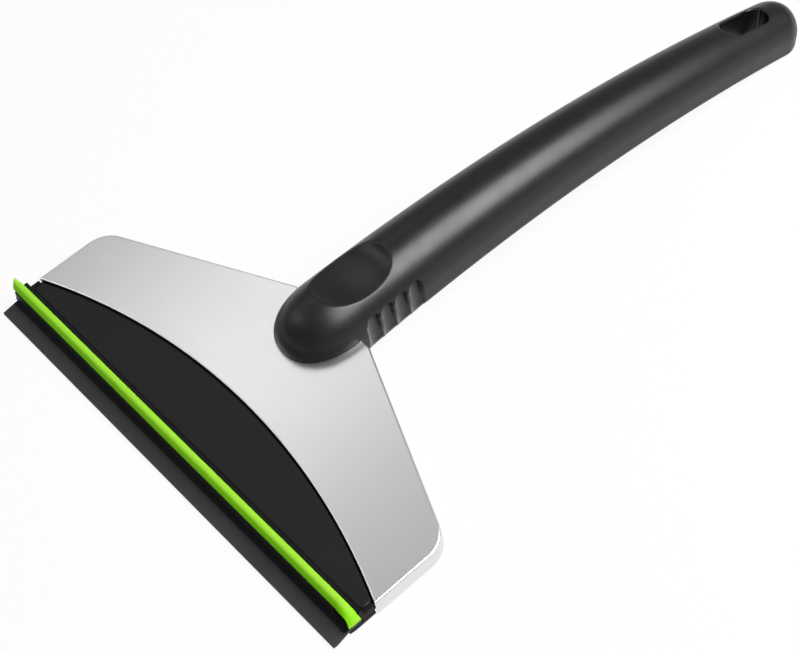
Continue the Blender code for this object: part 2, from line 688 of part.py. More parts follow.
def bead_ring(x, half, top, low=CHANNEL_BACK_TOP_Z + GAP, share=1.0, shift=0.0):
    """Ring of the bead at x: foot, neck and a domed head of the given half width and heights."""
    floor = BEAD_FLOOR_Z + GAP
    lip = min(BEAD_FLOOR_Z + BEAD_FOOT_HEIGHT, (floor + low) / 2)
    foot = BEAD_FOOT_HALF * share
    neck = BEAD_NECK_HALF * share
    right = [(foot, floor), (foot, lip), (neck, lip), (neck, low), (half, low)]
    turns = [math.pi / 2 * i / 4 for i in (1, 2, 3)]
    dome = [(half * math.cos(a), low + (top - low) * math.sin(a)) for a in turns]
    left = [(-y, z) for y, z in reversed(right + dome)]
    return [(x, y + shift, z) for y, z in right + dome + [(0.0, top)] + left]


def build_bead(frame, material):
    """Lock bead: an upright fin at its left tip, a flared and sloping pull at its right end."""
    rings = []
    for share in (0.3, 0.65, 0.9):
        x = -HOLDER_HALF - BEAD_TIP_OVERHANG * math.sqrt(1 - share ** 2)
        top = BEAD_TOP_Z + BEAD_TIP_RISE * (1 - share)
        shift = BEAD_TIP_SHIFT * (1 - share)
        rings.append(bead_ring(x, BEAD_HEAD_HALF * share, top, share=share, shift=shift))
    flare_x = HOLDER_HALF - BEAD_FLARE_LENGTH
    for x in (-HOLDER_HALF, -HOLDER_HALF / 3, HOLDER_HALF / 3, flare_x - BEAD_FLARE_LENGTH):
        rings.append(bead_ring(x, BEAD_HEAD_HALF, BEAD_TOP_Z))
    head_low = CHANNEL_BACK_TOP_Z + GAP
    end_low = NOTCH_FLOOR_Z + GAP
    end_x = HOLDER_HALF + BEAD_FLARE_OVERHANG
    for t in (0.0, 0.5, 0.85, 1.0):
        half = BEAD_HEAD_HALF + (BEAD_FLARE_HALF - BEAD_HEAD_HALF) * t ** 3
        top = BEAD_TOP_Z + (BEAD_FLARE_TOP_Z - BEAD_TOP_Z) * t
        low = head_low + (end_low - head_low) * t
        rings.append(bead_ring(flare_x + (end_x - flare_x) * t, half, top, low))
    return place("lock_bead", loft_mesh("lock_bead", rings), frame, material, (0.0, BEAD_Y, 0.0))


# Handle

def top_shell_ring(y):
    """Closed section of the top shell's outer form at y."""
    half = grip_half_width(y)
    zc = arch_z(y)
    rim = rim_z(y)
    turns = [math.pi * i / 14 for i in range(15)]
    points = [(half, rim)] + [(half * math.cos(a), zc + half * math.sin(a)) for a in turns] + [(-half, rim)]
    nose = nose_scale(y)
    plan = end_scale(y)
    lift = end_scale(y, 2.8)
    ring = []
    for x, z in points:
        if nose < 1:
            x, z = x * nose, z * nose
        if plan < 1:
            x, z = x * plan, rim + (z - rim) * lift
        ring.append((x, *lean_back(y, z)))
    return ring


def cavity_half_width(y):
    """Half width of the hollow, narrower where the flutes cut into the side walls."""
    past_flutes = (y - THUMB_CENTRE_Y - THUMB_HALF_LENGTH) / CAVITY_ROOF_RAMP
    extra = FLUTE_DEPTH * min(max(1 - past_flutes, 0.0), 1.0)
    return grip_half_width(y) * nose_scale(y) - HANDLE_WALL - extra


def cavity_ring(y):
    """Section of the hollow in the top shell, open below the rim."""
    half = cavity_half_width(y)
    roof = arch_z(y) + grip_half_width(y) - HANDLE_WALL
    thumb_end = THUMB_CENTRE_Y + THUMB_HALF_LENGTH
    ramp = min(max((y - thumb_end) / CAVITY_ROOF_RAMP, 0.0), 1.0)
    roof = CAVITY_ROOF_UNDER_THUMB_Z + (roof - CAVITY_ROOF_UNDER_THUMB_Z) * ramp
    spring = min(arch_z(y), roof - HANDLE_WALL)
    low = rim_z(y) - PAST
    turns = [math.pi * i / 10 for i in range(11)]
    arc = [(half * math.cos(a), y, spring + (roof - spring) * math.sin(a)) for a in turns]
    return [(half, y, low)] + arc + [(-half, y, low)]


def slot_outline():
    """Plan of the hanging slot about its own centre, in world axes."""
    radius = SLOT_WIDTH / 2
    run = (SLOT_LENGTH - SLOT_WIDTH) / 2
    far = arc_points(0.0, run, radius, 0.0, math.pi, 10)
    near = arc_points(0.0, -run, radius, math.pi, 2 * math.pi, 10)
    return far + near


def to_world(y, z):
    """World point of a point on the middle plane, given in the plate's frame."""
    tilt = rest_tilt()
    tip, _ = rest_points()
    land_middle = tip + Vector((math.cos(tilt), -math.sin(tilt))) * BLADE_LAND / 2
    run = Vector((y, z)) - land_middle
    return Vector((0.0, run.x * math.cos(tilt) - run.y * math.sin(tilt),
                   run.x * math.sin(tilt) + run.y * math.cos(tilt)))


def slot_tool():
    """Cutter of the hanging slot, square to the table that the scraper rests on."""
    bm = bmesh.new()
    centre = to_world(SLOT_CENTRE_Y, arch_z(SLOT_CENTRE_Y) + grip_half_width(SLOT_CENTRE_Y))
    reach = 3 * (END_HALF_WIDTH + RIM_DROP + BELLY_DEPTH)
    outline = [(x + centre.x, y + centre.y) for x, y in slot_outline()]
    add_prism(bm, outline, centre.z - reach, centre.z + reach)
    return bm


def thumb_tool():
    """Ellipsoid that scoops the thumb recess."""
    bm = bmesh.new()
    size = Matrix.Diagonal((THUMB_HALF_WIDTH, THUMB_HALF_LENGTH, THUMB_HALF_HEIGHT, 1.0))
    turn = Matrix.Rotation(-THUMB_TILT, 4, 'X')
    shift = Matrix.Translation((0.0, THUMB_CENTRE_Y, THUMB_CENTRE_Z))
    bmesh.ops.create_uvsphere(bm, u_segments=40, v_segments=24, radius=1.0, matrix=shift @ turn @ size)
    return bm


def flute_tool(y):
    """Two upright round cutters with bullet-shaped tops, one for each side of the handle at y."""
    bm = bmesh.new()
    out = grip_half_width(y) - FLUTE_DEPTH + FLUTE_RADIUS
    low = (rim_z(y) - PAST, out, FLUTE_RADIUS)
    top = [(FLUTE_ROUND_Z + FLUTE_ROUND_HEIGHT * math.sin(a), out - FLUTE_LEAN, FLUTE_RADIUS * math.cos(a))
           for a in (0.0, 0.3, 0.6, 0.85, 1.1, 1.3, 1.48)]
    for side in (-1, 1):
        add_loft(bm, [[(px, py, z) for px, py in circle(side * x, y, size)] for z, x, size in [low] + top])
    return bm


def build_top_shell(frame, material):
    """Arched top shell: thumb recess, side flutes, hollow with screw bosses, hanging slot."""
    rings = [top_shell_ring(y) for y in handle_stations()]
    shell = place("handle_top_shell", loft_mesh("handle_top_shell", rings), frame, material)

    hollow = bmesh.new()
    add_loft(hollow, [cavity_ring(y) for y in stations(CAVITY_FRONT_Y, CAVITY_END_Y, STATION_STEP)])
    cut(shell, "cut_hollow", hollow, frame)

    bosses = bmesh.new()
    pilots = bmesh.new()
    for y in TANG_SCREW_YS:
        roof = CAVITY_ROOF_UNDER_THUMB_Z + HANDLE_WALL / 2
        add_prism(bosses, circle(0.0, y, TANG_BOSS_RADIUS), GAP, roof)
        depth = TANG_SCREW_LENGTH - PLATE_SHEET
        add_prism(pilots, circle(0.0, y, SCREW_SHANK_RADIUS + GAP / 2), -PAST, depth + GAP)
    for y in HANDLE_SCREW_YS:
        top = arch_z(y) + grip_half_width(y) - HANDLE_BOSS_COVER
        seat = screw_seat_z(y) + SCREW_SEAT_THICKNESS
        add_prism(bosses, circle(0.0, y, HANDLE_BOSS_RADIUS), seat + GAP, top)
        depth = screw_seat_z(y) + HANDLE_SCREW_LENGTH + GAP
        add_prism(pilots, circle(0.0, y, SCREW_SHANK_RADIUS + GAP / 2), seat - PAST, depth)
    join(shell, "join_bosses", bosses, frame)

    add_box(pilots, (-TANG_HALF_WIDTH * 3, TANG_HALF_WIDTH * 3),
            (HANDLE_NOSE_Y - PAST, HANDLE_FRONT_Y), (rim_z(HANDLE_NOSE_Y) - PAST, GAP))
    cut(shell, "cut_pilots_and_nose", pilots, frame)
    cut(shell, "cut_thumb_recess", thumb_tool(), frame)

    for i in range(FLUTE_COUNT):
        cut(shell, f"cut_flutes_{i + 1}", flute_tool(FLUTE_FIRST_Y + i * FLUTE_PITCH), frame)
    cut(shell, "cut_slot_top", slot_tool(), None)
    return shell


def screw_seat_z(y):
    """Height of the face in the bottom shell that a handle screw's head pulls on."""
    return rim_z(y) + SCREW_SEAT_RISE


def bottom_shell_ring(y):
    """Closed section of the bottom shell at y: flat inside, belly with round edges outside."""
    half = (grip_half_width(y) - BOTTOM_SHELL_INSET) * end_scale(y)
    top = rim_z(y) - GAP
    low = belly_z(y)
    turn = min(BELLY_EDGE_RADIUS, half * 0.9)
    angles = [math.pi / 2 * i / 4 for i in range(5)]
    right = [(half, top)] + [(half - turn + turn * math.cos(a),
                              low + BELLY_EDGE_RADIUS * (1 - math.sin(a))) for a in angles]
    left = [(-x, z) for x, z in reversed(right)]
    return [(x, *lean_back(y, z)) for x, z in right + left]


def bottom_stations():
    """Stations of the bottom shell, from the neck to the rounded end."""
    return stations(HANDLE_FRONT_Y, HANDLE_END_Y - HANDLE_END_ROUND, STATION_STEP) + end_stations()


def build_bottom_shell(frame, material):
    """Underside of the handle: closes the hollow, carries the screws and rests on its heel."""
    rings = [bottom_shell_ring(y) for y in bottom_stations()]
    shell = place("handle_bottom_shell", loft_mesh("handle_bottom_shell", rings), frame, material)

    extras = bmesh.new()
    for side in (-1, 1):
        rib = []
        for y in stations(LOCATING_RIB_START_Y, LOCATING_RIB_END_Y, 2 * STATION_STEP):
            outer = cavity_half_width(y) - GAP
            inner = outer - LOCATING_RIB_THICKNESS
            low = rim_z(y) - GAP - BELLY_DEPTH / 4
            high = rim_z(y) + LOCATING_RIB_HEIGHT
            rib.append([(side * outer, y, low), (side * outer, y, high),
                        (side * inner, y, high), (side * inner, y, low)])
        add_loft(extras, rib)
    for y in HANDLE_SCREW_YS:
        low = rim_z(y) - GAP - BELLY_DEPTH / 2
        add_prism(extras, circle(0.0, y, SEAT_BOSS_RADIUS), low, screw_seat_z(y) + SCREW_SEAT_THICKNESS)
    wall_half = cavity_half_width(HANDLE_FRONT_Y) - GAP
    wall_y = (HANDLE_FRONT_Y + GAP, HANDLE_FRONT_Y + FRONT_WALL_THICKNESS)
    wall_z = (rim_z(HANDLE_FRONT_Y) - BELLY_DEPTH / 2, -PLATE_SHEET - GAP)
    add_box(extras, (-wall_half, wall_half), wall_y, wall_z)
    join(shell, "join_ribs_and_seats", extras, frame)

    cuts = bmesh.new()
    for y in HANDLE_SCREW_YS:
        seat = screw_seat_z(y)
        head = circle(0.0, y, SCREW_HEAD_RADIUS + HOLE_CLEARANCE)
        shank = circle(0.0, y, SCREW_SHANK_RADIUS + HOLE_CLEARANCE)
        rings = [(belly_z(y) - PAST, head), (seat - GAP, head), (seat - GAP, shank),
                 (rim_z(y) + 4 * PAST, shank)]
        add_loft(cuts, [[(px, py, z) for px, py in ring] for z, ring in rings])
    cut(shell, "cut_screw_holes", cuts, frame)
    cut(shell, "cut_slot_bottom", slot_tool(), None)

    table = bmesh.new()
    heel = to_world(HEEL_Y, belly_z(HEEL_Y))
    add_box(table, (-2 * NOSE_HALF_WIDTH, 2 * NOSE_HALF_WIDTH),
            (heel.y - HANDLE_END_ROUND * 4, heel.y + HANDLE_END_ROUND * 4), (-BELLY_DEPTH * 2, 0.0))
    cut(shell, "cut_heel_flat", table, None)
    return shell


# Fasteners

def cross_recess(wide, narrow):
    """Radius of a cross-shaped recess by turn index, for a ring of ROUND_SEGMENTS points."""
    quarter = ROUND_SEGMENTS // 4
    return lambda i: wide if i % quarter in (0, 1, quarter - 1) else narrow


def pan_screw_mesh(name, shank, head, head_height, length):
    """Pan head screw, head down, its seat at Z = 0 and its point upwards."""
    recess = cross_recess(head * 0.55, head * 0.3)
    low = cross_recess(head * 0.45, head * 0.24)
    rings = [(-head_height * 0.35, low), (-head_height, recess), (-head_height, lambda i: head * 0.72),
             (-head_height * 0.6, lambda i: head), (0.0, lambda i: head), (0.0, lambda i: shank),
             (length - shank * 1.6, lambda i: shank), (length, lambda i: shank * 0.25)]
    bm = bmesh.new()
    add_turned(bm, rings)
    return make_mesh(name, bm)


def flush_screw_mesh(name, shank, head, head_height, length):
    """Countersunk screw, head down, its flat face at Z = 0 and its point upwards."""
    recess = cross_recess(head * 0.55, head * 0.3)
    low = cross_recess(head * 0.35, head * 0.2)
    rings = [(head_height * 0.7, low), (0.0, recess), (0.0, lambda i: head),
             (head_height * 0.2, lambda i: head), (head_height, lambda i: shank),
             (length - shank, lambda i: shank), (length, lambda i: shank * 0.3)]
    bm = bmesh.new()
    add_turned(bm, rings)
    return make_mesh(name, bm)


def nut_mesh(name):
    """Thin hexagon nut, its seat at Z = 0 and its body below."""
    flat = NUT_ACROSS_FLATS / 2
    sector = ROUND_SEGMENTS // 6

    def hexagon(i):
        """Radius of the hexagon at a turn index."""
        angle = 2 * math.pi * (i % sector) / ROUND_SEGMENTS - math.pi / 6
        return flat / math.cos(angle)

    bore = STUD_RADIUS + GAP / 2
    rings = [(0.0, hexagon), (-NUT_HEIGHT, hexagon), (-NUT_HEIGHT, lambda i: bore), (0.0, lambda i: bore)]
    bm = bmesh.new()
    add_turned(bm, rings, closed=True)
    return make_mesh(name, bm)


def build_fasteners(frame, steel):
    """Handle screws, tang screws, clamp screws and the nuts on the weld studs."""
    pan = pan_screw_mesh("handle_screw", SCREW_SHANK_RADIUS, SCREW_HEAD_RADIUS, SCREW_HEAD_HEIGHT,
                         HANDLE_SCREW_LENGTH)
    for i, y in enumerate(HANDLE_SCREW_YS, 1):
        place(f"handle_screw_{i}", pan, frame, steel, (0.0, y, screw_seat_z(y) - GAP * 2))
    tang = pan_screw_mesh("tang_screw", SCREW_SHANK_RADIUS, SCREW_HEAD_RADIUS, SCREW_HEAD_HEIGHT,
                          TANG_SCREW_LENGTH)
    for i, y in enumerate(TANG_SCREW_YS, 1):
        place(f"tang_screw_{i}", tang, frame, steel, (0.0, y, -PLATE_SHEET - GAP))
    flush = flush_screw_mesh("clamp_screw", CLAMP_SCREW_RADIUS, CLAMP_SCREW_HEAD_RADIUS,
                             CLAMP_SCREW_HEAD_HEIGHT, CLAMP_SCREW_LENGTH)
    for i, x in enumerate(CLAMP_SCREW_XS, 1):
        place(f"clamp_screw_{i}", flush, frame, steel, (x, CLAMP_SCREW_Y, HOLDER_BOTTOM_Z))
    nut = nut_mesh("stud_nut")
    for i, (x, y) in enumerate(stud_places(), 1):
        seat = -PLATE_SHEET - STUD_LENGTH + NUT_HEIGHT
        place(f"stud_nut_{i}", nut, frame, steel, (x, y, seat))


def main():
    """Build the scraper and stand it on the table."""
    clear_scene()
    frame = bpy.data.objects.new("plate_frame", None)
    bpy.context.scene.collection.objects.link(frame)
    tilt = rest_tilt()
    frame.rotation_euler = (tilt, 0.0, 0.0)
    frame.location = to_world(0.0, 0.0)

    satin_black = make_material("satin_black_plastic", (0.028, 0.028, 0.029), 0.38)
    holder_black = make_material("holder_black_plastic", (0.017, 0.017, 0.018), 0.5)
    blade_grey = make_material("blade_grey_plastic", (0.038, 0.038, 0.039), 0.6)
    lime = make_material("lime_green_elastomer", (0.32, 0.72, 0.03), 0.45)
    steel = make_material("satin_stainless", (0.66, 0.66, 0.67), 0.32, 1.0)
    zinc = make_material("zinc_plated_steel", (0.55, 0.56, 0.58), 0.3, 1.0)

    build_plate(frame, steel)
    build_holder(frame, holder_black)
    build_cover(frame, holder_black)
    build_clamp(frame, holder_black)
    build_blade(frame, blade_grey)
    build_bead(frame, lime)
    build_top_shell(frame, satin_black)
    build_bottom_shell(frame, satin_black)
    build_fasteners(frame, zinc)


main()
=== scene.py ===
"""Looks of a hand ice scraper, built round the frame that its CAD solids give."""
import logging
import math
from dataclasses import dataclass
from enum import Enum
from typing import Iterable, Sequence

import bmesh
import bpy
import numpy as np
from bmesh.types import BMesh
from bpy.types import Material, Mesh, Node, NodeSocket, NodeTree, Object
from mathutils import Matrix, Vector


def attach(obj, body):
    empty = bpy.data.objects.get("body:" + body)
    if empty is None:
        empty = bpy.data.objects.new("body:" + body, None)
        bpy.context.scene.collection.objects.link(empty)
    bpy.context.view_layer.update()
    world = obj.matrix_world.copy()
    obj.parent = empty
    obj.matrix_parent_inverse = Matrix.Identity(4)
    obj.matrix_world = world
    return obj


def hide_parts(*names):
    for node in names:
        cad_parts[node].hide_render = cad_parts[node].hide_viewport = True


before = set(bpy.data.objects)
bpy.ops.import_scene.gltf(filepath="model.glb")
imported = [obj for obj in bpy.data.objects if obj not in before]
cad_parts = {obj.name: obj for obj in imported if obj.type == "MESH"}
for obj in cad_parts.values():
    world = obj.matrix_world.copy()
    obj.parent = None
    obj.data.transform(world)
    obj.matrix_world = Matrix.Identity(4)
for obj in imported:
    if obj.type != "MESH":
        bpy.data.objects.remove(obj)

MM = 0.001
SCRAPER = "scraper"
BEAD = "bead"
# Name of the point attribute that marks where highlights and light are painted into the colour
PAINTED_LIGHT = "worn"
WHITE = (1.0, 1.0, 1.0, 1.0)

# Air between neighbours, how far a cutter runs past its target, and how near points are merged
GAP = 0.3 * MM
PAST = 2.0 * MM
MERGE = 0.002 * MM

# Places and sizes that several pieces share, on the plate's axes
NECK_Y = 59.3 * MM
HANDLE_SCREW_YS = (104 * MM, 150 * MM, 192 * MM, 228 * MM)
TANG_SCREW_YS = (67 * MM, 79 * MM)
SCREW_HOLE = 1.75 * MM

LOG = logging.getLogger("ice_scraper")

Span = tuple[float, float]
Point = tuple[float, float, float]
Colour = tuple[float, float, float]
Outline = list[tuple[float, float]]
Numbers = float | np.ndarray
Rings = Sequence[Iterable[Sequence[float]]]


# Rest pose: the plate's own axes on the table

@dataclass(frozen=True)
class RestPose:
    """How the plate's own axes lie when the scraper stands on its blade and heel.

    Attributes:
        tilt: Angle of the plate's plane to the table, in radians.
        tip: Y and Z of the blade's front lower edge on the plate's axes.
        land: Depth of the flat land under the blade's edge.
    """

    tilt: float = math.radians(5.952696654856372)
    tip: Span = (-16.6 * MM, -4.9 * MM)
    land: float = 1.6 * MM

    def matrix(self) -> Matrix:
        """Matrix that takes a point on the plate's axes to the table's axes.

        Returns:
            The matrix.
        """
        across, down = math.cos(self.tilt), math.sin(self.tilt)
        y = -self.tip[0] - across * self.land / 2
        z = -self.tip[1] + down * self.land / 2
        origin = Vector((0.0, y * across - z * down, y * down + z * across))
        return Matrix.Translation(origin) @ Matrix.Rotation(self.tilt, 4, 'X')


TO_TABLE = RestPose().matrix()


# Meshes

def to_table(points: np.ndarray) -> np.ndarray:
    """Move points from the plate's axes to the table's axes.

    Args:
        points: Array whose last axis holds X, Y and Z.

    Returns:
        The moved points, in the same shape.
    """
    turn = np.array(TO_TABLE.to_3x3())
    return points @ turn.T + np.array(TO_TABLE.translation)


def unit(values: Numbers) -> Numbers:
    """Values limited to the range from 0 to 1.

    Args:
        values: One number or an array.

    Returns:
        The limited values.
    """
    return np.clip(values, 0.0, 1.0)


def smooth_min(a: np.ndarray, b: np.ndarray, blend: float) -> np.ndarray:
    """Lower of two heights, rounded where they meet.

    Args:
        a: First heights.
        b: Second heights.
        blend: Height over which the two run into each other.

    Returns:
        The blended heights.
    """
    share = unit(0.5 + 0.5 * (b - a) / blend)
    return b + (a - b) * share - blend * share * (1 - share)


def arc_points(cx: float, cy: float, radius: float, start: float, end: float, steps: int) -> Outline:
    """Points of an arc.

    Args:
        cx: First coordinate of the arc's centre.
        cy: Second coordinate of the arc's centre.
        radius: Radius of the arc.
        start: First angle, in radians.
        end: Last angle, in radians.
        steps: Number of chords.

    Returns:
        The points from start to end.
    """
    turns = [start + (end - start) * i / steps for i in range(steps + 1)]
    return [(cx + radius * math.cos(a), cy + radius * math.sin(a)) for a in turns]


def rounded(points: Outline, rounds: int = 3) -> Outline:
    """Cut the corners of an open line again and again, with its two ends kept.

    Args:
        points: Points of the line.
        rounds: How often its corners are cut.

    Returns:
        The rounder line.
    """
    for _ in range(rounds):
        cut = [points[0]]
        for a, b in zip(points, points[1:]):
            cut += [(a[0] * (1 - t) + b[0] * t, a[1] * (1 - t) + b[1] * t) for t in (0.25, 0.75)]
        points = cut + [points[-1]]
    return points


def mirror_x(points: Outline) -> Outline:
    """The same outline points on the other side, in reverse order.

    Args:
        points: Points of one side.

    Returns:
        The mirrored points.
    """
    return [(-x, y) for x, y in reversed(points)]


def inset_outline(points: Outline, distance: float) -> Outline:
    """Move each point of a closed outline inwards, square to both of its edges.

    Args:
        points: Closed outline.
        distance: How far the edges move.

    Returns:
        The smaller outline, point for point.
    """
    area = sum(a[0] * b[1] - b[0] * a[1] for a, b in zip(points, points[1:] + points[:1]))
    side = 1 if area > 0 else -1
    result = []
    for i, here in enumerate(points):
        first = (Vector(here) - Vector(points[i - 1])).normalized()
        second = (Vector(points[(i + 1) % len(points)]) - Vector(here)).normalized()
        normal = Vector((-first.y - second.y, first.x + second.x)).normalized() * side
        stretch = normal.dot(Vector((-first.y, first.x)) * side)
        moved = Vector(here) + normal * distance / stretch
        result.append((moved.x, moved.y))
    return result


def add_body(bm: BMesh, rings: Rings, closed: bool = False) -> None:
    """Add a closed body through rings of equally many points.

    Args:
        bm: Mesh that gets the body.
        rings: Rings of points, from one end to the other.
        closed: Whether the last ring joins the first one, in place of a fan at each end.
    """
    rows = [[bm.verts.new(point) for point in ring] for ring in rings]
    count = len(rows[0])
    for low, high in zip(rows, rows[1:] + rows[:1] if closed else rows[1:]):
        for i in range(count):
            j = (i + 1) % count
            bm.faces.new((low[i], low[j], high[j], high[i]))
    for row in () if closed else (rows[0], rows[-1]):
        bm.faces.new(row)


def mesh_of(name: str, bm: BMesh) -> Mesh:
    """Turn a bmesh into a mesh whose faces point outwards, and free it.

    Args:
        name: Name of the mesh.
        bm: Mesh data, which is used up.

    Returns:
        The mesh.
    """
    bmesh.ops.recalc_face_normals(bm, faces=bm.faces)
    mesh = bpy.data.meshes.new(name)
    bm.to_mesh(mesh)
    bm.free()
    return mesh


def body_mesh(name: str, rings: Rings, closed: bool = False) -> Mesh:
    """Mesh of one closed body through rings, with its faces pointing outwards.

    Args:
        name: Name of the mesh.
        rings: Rings of points, from one end to the other.
        closed: Whether the last ring joins the first one.

    Returns:
        The mesh.
    """
    bm = bmesh.new()
    add_body(bm, rings, closed)
    return mesh_of(name, bm)


def level(outline: Outline, z: float) -> list[Point]:
    """Points of a plan outline at one height.

    Args:
        outline: Plan outline.
        z: The height.

    Returns:
        The points.
    """
    return [(x, y, z) for x, y in outline]


def add_prism(bm: BMesh, outline: Outline, low: float, high: float) -> None:
    """Add an upright prism of a plan outline between two heights.

    Args:
        bm: Mesh that the prism joins.
        outline: Plan outline.
        low: Height of its lower face.
        high: Height of its upper face.
    """
    add_body(bm, [level(outline, low), level(outline, high)])


def prism_mesh(name: str, outline: Outline, low: float, high: float) -> Mesh:
    """Mesh of one upright prism of a plan outline between two heights.

    Args:
        name: Name of the mesh.
        outline: Plan outline.
        low: Height of its lower face.
        high: Height of its upper face.

    Returns:
        The mesh.
    """
    return body_mesh(name, [level(outline, low), level(outline, high)])


def box_mesh(name: str, x: Span, y: Span, z: Span) -> Mesh:
    """Mesh of an upright box between two places along each axis.

    Args:
        name: Name of the mesh.
        x: Its ends along X.
        y: Its ends along Y.
        z: Its ends along Z.

    Returns:
        The mesh.
    """
    return prism_mesh(name, [(x[0], y[0]), (x[1], y[0]), (x[1], y[1]), (x[0], y[1])], *z)


def tilted(mesh: Mesh) -> Mesh:
    """Move a mesh from the plate's axes to the table's axes.

    Args:
        mesh: Mesh on the plate's axes.

    Returns:
        The same mesh, on the table's axes.
    """
    mesh.transform(TO_TABLE)
    return mesh


def circle(x: float, y: float, radius: float, steps: int = 32) -> Outline:
    """Plan outline of a circle.

    Args:
        x: X of its centre.
        y: Y of its centre.
        radius: Its radius.
        steps: Number of its points.

    Returns:
        The outline.
    """
    return arc_points(x, y, radius, 0.0, 2 * math.pi, steps)[:-1]


def vectors_of(data: bpy.types.bpy_prop_collection, name: str) -> np.ndarray:
    """Read one vector from each item of a mesh's data, into rows.

    Args:
        data: The mesh's vertices or normals.
        name: Name of the vector.

    Returns:
        The vectors.
    """
    values = np.empty(len(data) * 3)
    data.foreach_get(name, values)
    return values.reshape(-1, 3)


def write_painted_light(mesh: Mesh, worn: np.ndarray) -> None:
    """Write how much painted light each point of a mesh gets, from 0 to 1.

    Args:
        mesh: The mesh.
        worn: How much painted light each point gets, one value for each point.
    """
    mesh.attributes.new(PAINTED_LIGHT, 'FLOAT', 'POINT').data.foreach_set("value", worn.astype(np.float32))


def add_piece(name: str, mesh: Mesh) -> Object:
    """Add an object at the origin that shows a mesh.

    Args:
        name: Name of the object.
        mesh: Mesh that it shows.

    Returns:
        The object.
    """
    piece = bpy.data.objects.new(name, mesh)
    bpy.context.scene.collection.objects.link(piece)
    return piece


def applied(piece: Object) -> Mesh:
    """Mesh of an object with its modifiers applied; the modifiers are removed.

    Args:
        piece: Object whose modifiers are done with.

    Returns:
        The new mesh, which the object now shows.
    """
    bpy.context.view_layer.update()
    graph = bpy.context.evaluated_depsgraph_get()
    mesh = bpy.data.meshes.new_from_object(piece.evaluated_get(graph), depsgraph=graph)
    mesh.name = piece.name
    piece.modifiers.clear()
    piece.data = mesh
    return mesh


class Operation(Enum):
    """What a Boolean tool does to its target."""

    CUT = 'DIFFERENCE'
    JOIN = 'UNION'


def work(target: Object, operation: Operation, tools: Sequence[Mesh]) -> None:
    """Cut tool shapes out of a target or join them to it, one after another.

    Args:
        target: Object that is worked on.
        operation: Cut or join.
        tools: Closed meshes of the tools, none of which crosses itself.
    """
    helpers = []
    for mesh in tools:
        helper = add_piece("tool", mesh)
        modifier = target.modifiers.new("tool", 'BOOLEAN')
        modifier.operation = operation.value
        modifier.solver = 'EXACT'
        modifier.object = helper
        helpers.append(helper)
    applied(target)
    for helper in helpers:
        bpy.data.objects.remove(helper)


def merge_doubles(mesh: Mesh) -> None:
    """Join the loose triangles of a CAD mesh into one closed surface.

    Args:
        mesh: Mesh that is changed.
    """
    bm = bmesh.new()
    bm.from_mesh(mesh)
    bmesh.ops.remove_doubles(bm, verts=bm.verts, dist=MERGE)
    bm.to_mesh(mesh)
    bm.free()


def soften_edges(mesh: Mesh, width: float, least_length: float = 1.5 * MM,
                 least_angle: float = math.radians(40), segments: int = 2) -> None:
    """Round the long sharp edges of a mesh with a small bevel.

    Args:
        mesh: Mesh that is changed.
        width: Width of the bevel.
        least_length: Shorter edges stay as they are.
        least_angle: Flatter edges stay as they are.
        segments: Number of faces across the bevel.
    """
    bm = bmesh.new()
    bm.from_mesh(mesh)
    bmesh.ops.remove_doubles(bm, verts=bm.verts, dist=MERGE)
    bmesh.ops.dissolve_limit(bm, angle_limit=math.radians(0.4), verts=bm.verts, edges=bm.edges)
    edges = [e for e in bm.edges if len(e.link_faces) == 2 and e.calc_length() > least_length
             and e.calc_face_angle() > least_angle]
    bmesh.ops.bevel(bm, geom=edges, offset=width, offset_type='OFFSET', segments=segments,
                    profile=0.5, affect='EDGES', clamp_overlap=False)
    bm.to_mesh(mesh)
    bm.free()


def shade(mesh: Mesh, angle: float) -> None:
    """Shade a mesh smooth, with sharp edges above an angle.

    Args:
        mesh: The mesh.
        angle: Angle above which an edge is sharp, in degrees.
    """
    mesh.shade_smooth()
    mesh.set_sharp_from_angle(angle=math.radians(angle))


def flatten_faces(piece: Object) -> None:
    """Let the large faces of a bevelled piece keep their own flat normals.

    Args:
        piece: Piece whose mesh is changed.
    """
    modifier = piece.modifiers.new("normals", 'WEIGHTED_NORMAL')
    modifier.mode = 'FACE_AREA'
    modifier.weight = 100
    modifier.keep_sharp = True
    applied(piece)


# Node trees

class Tree:
    """A node tree whose nodes are added, set up and joined by one call each."""

    def __init__(self, tree: NodeTree) -> None:
        """Empty the tree."""
        self.tree = tree
        tree.nodes.clear()

    def feed(self, target: NodeSocket, source: object) -> None:
        """Join an input to an output, or give it a constant.

        Args:
            target: The input.
            source: An output or a constant.
        """
        if isinstance(source, NodeSocket):
            self.tree.links.new(source, target)
        else:
            target.default_value = source

    def node(self, kind: str, inputs: dict[str | int, object] | None = None, **settings: object) -> Node:
        """Add a node.

        Args:
            kind: Type of the node.
            inputs: Outputs or constants for its inputs, by name or number.
            settings: Its properties.

        Returns:
            The node.
        """
        item = self.tree.nodes.new(kind)
        for key, value in settings.items():
            setattr(item, key, value)
        for key, source in (inputs or {}).items():
            self.feed(item.inputs[key], source)
        return item

    def combined(self, first: object, second: object, operation: str = 'ADD') -> NodeSocket:
        """Combine two values, outputs or constants, with a Math node."""
        return self.node("ShaderNodeMath", {0: first, 1: second}, operation=operation).outputs[0]

    def mixed_shader(self, share: NodeSocket, first: Node, second: Node) -> NodeSocket:
        """Mix two shaders by a share."""
        return self.node("ShaderNodeMixShader", {0: share, 1: first.outputs[0], 2: second.outputs[0]}).outputs[0]


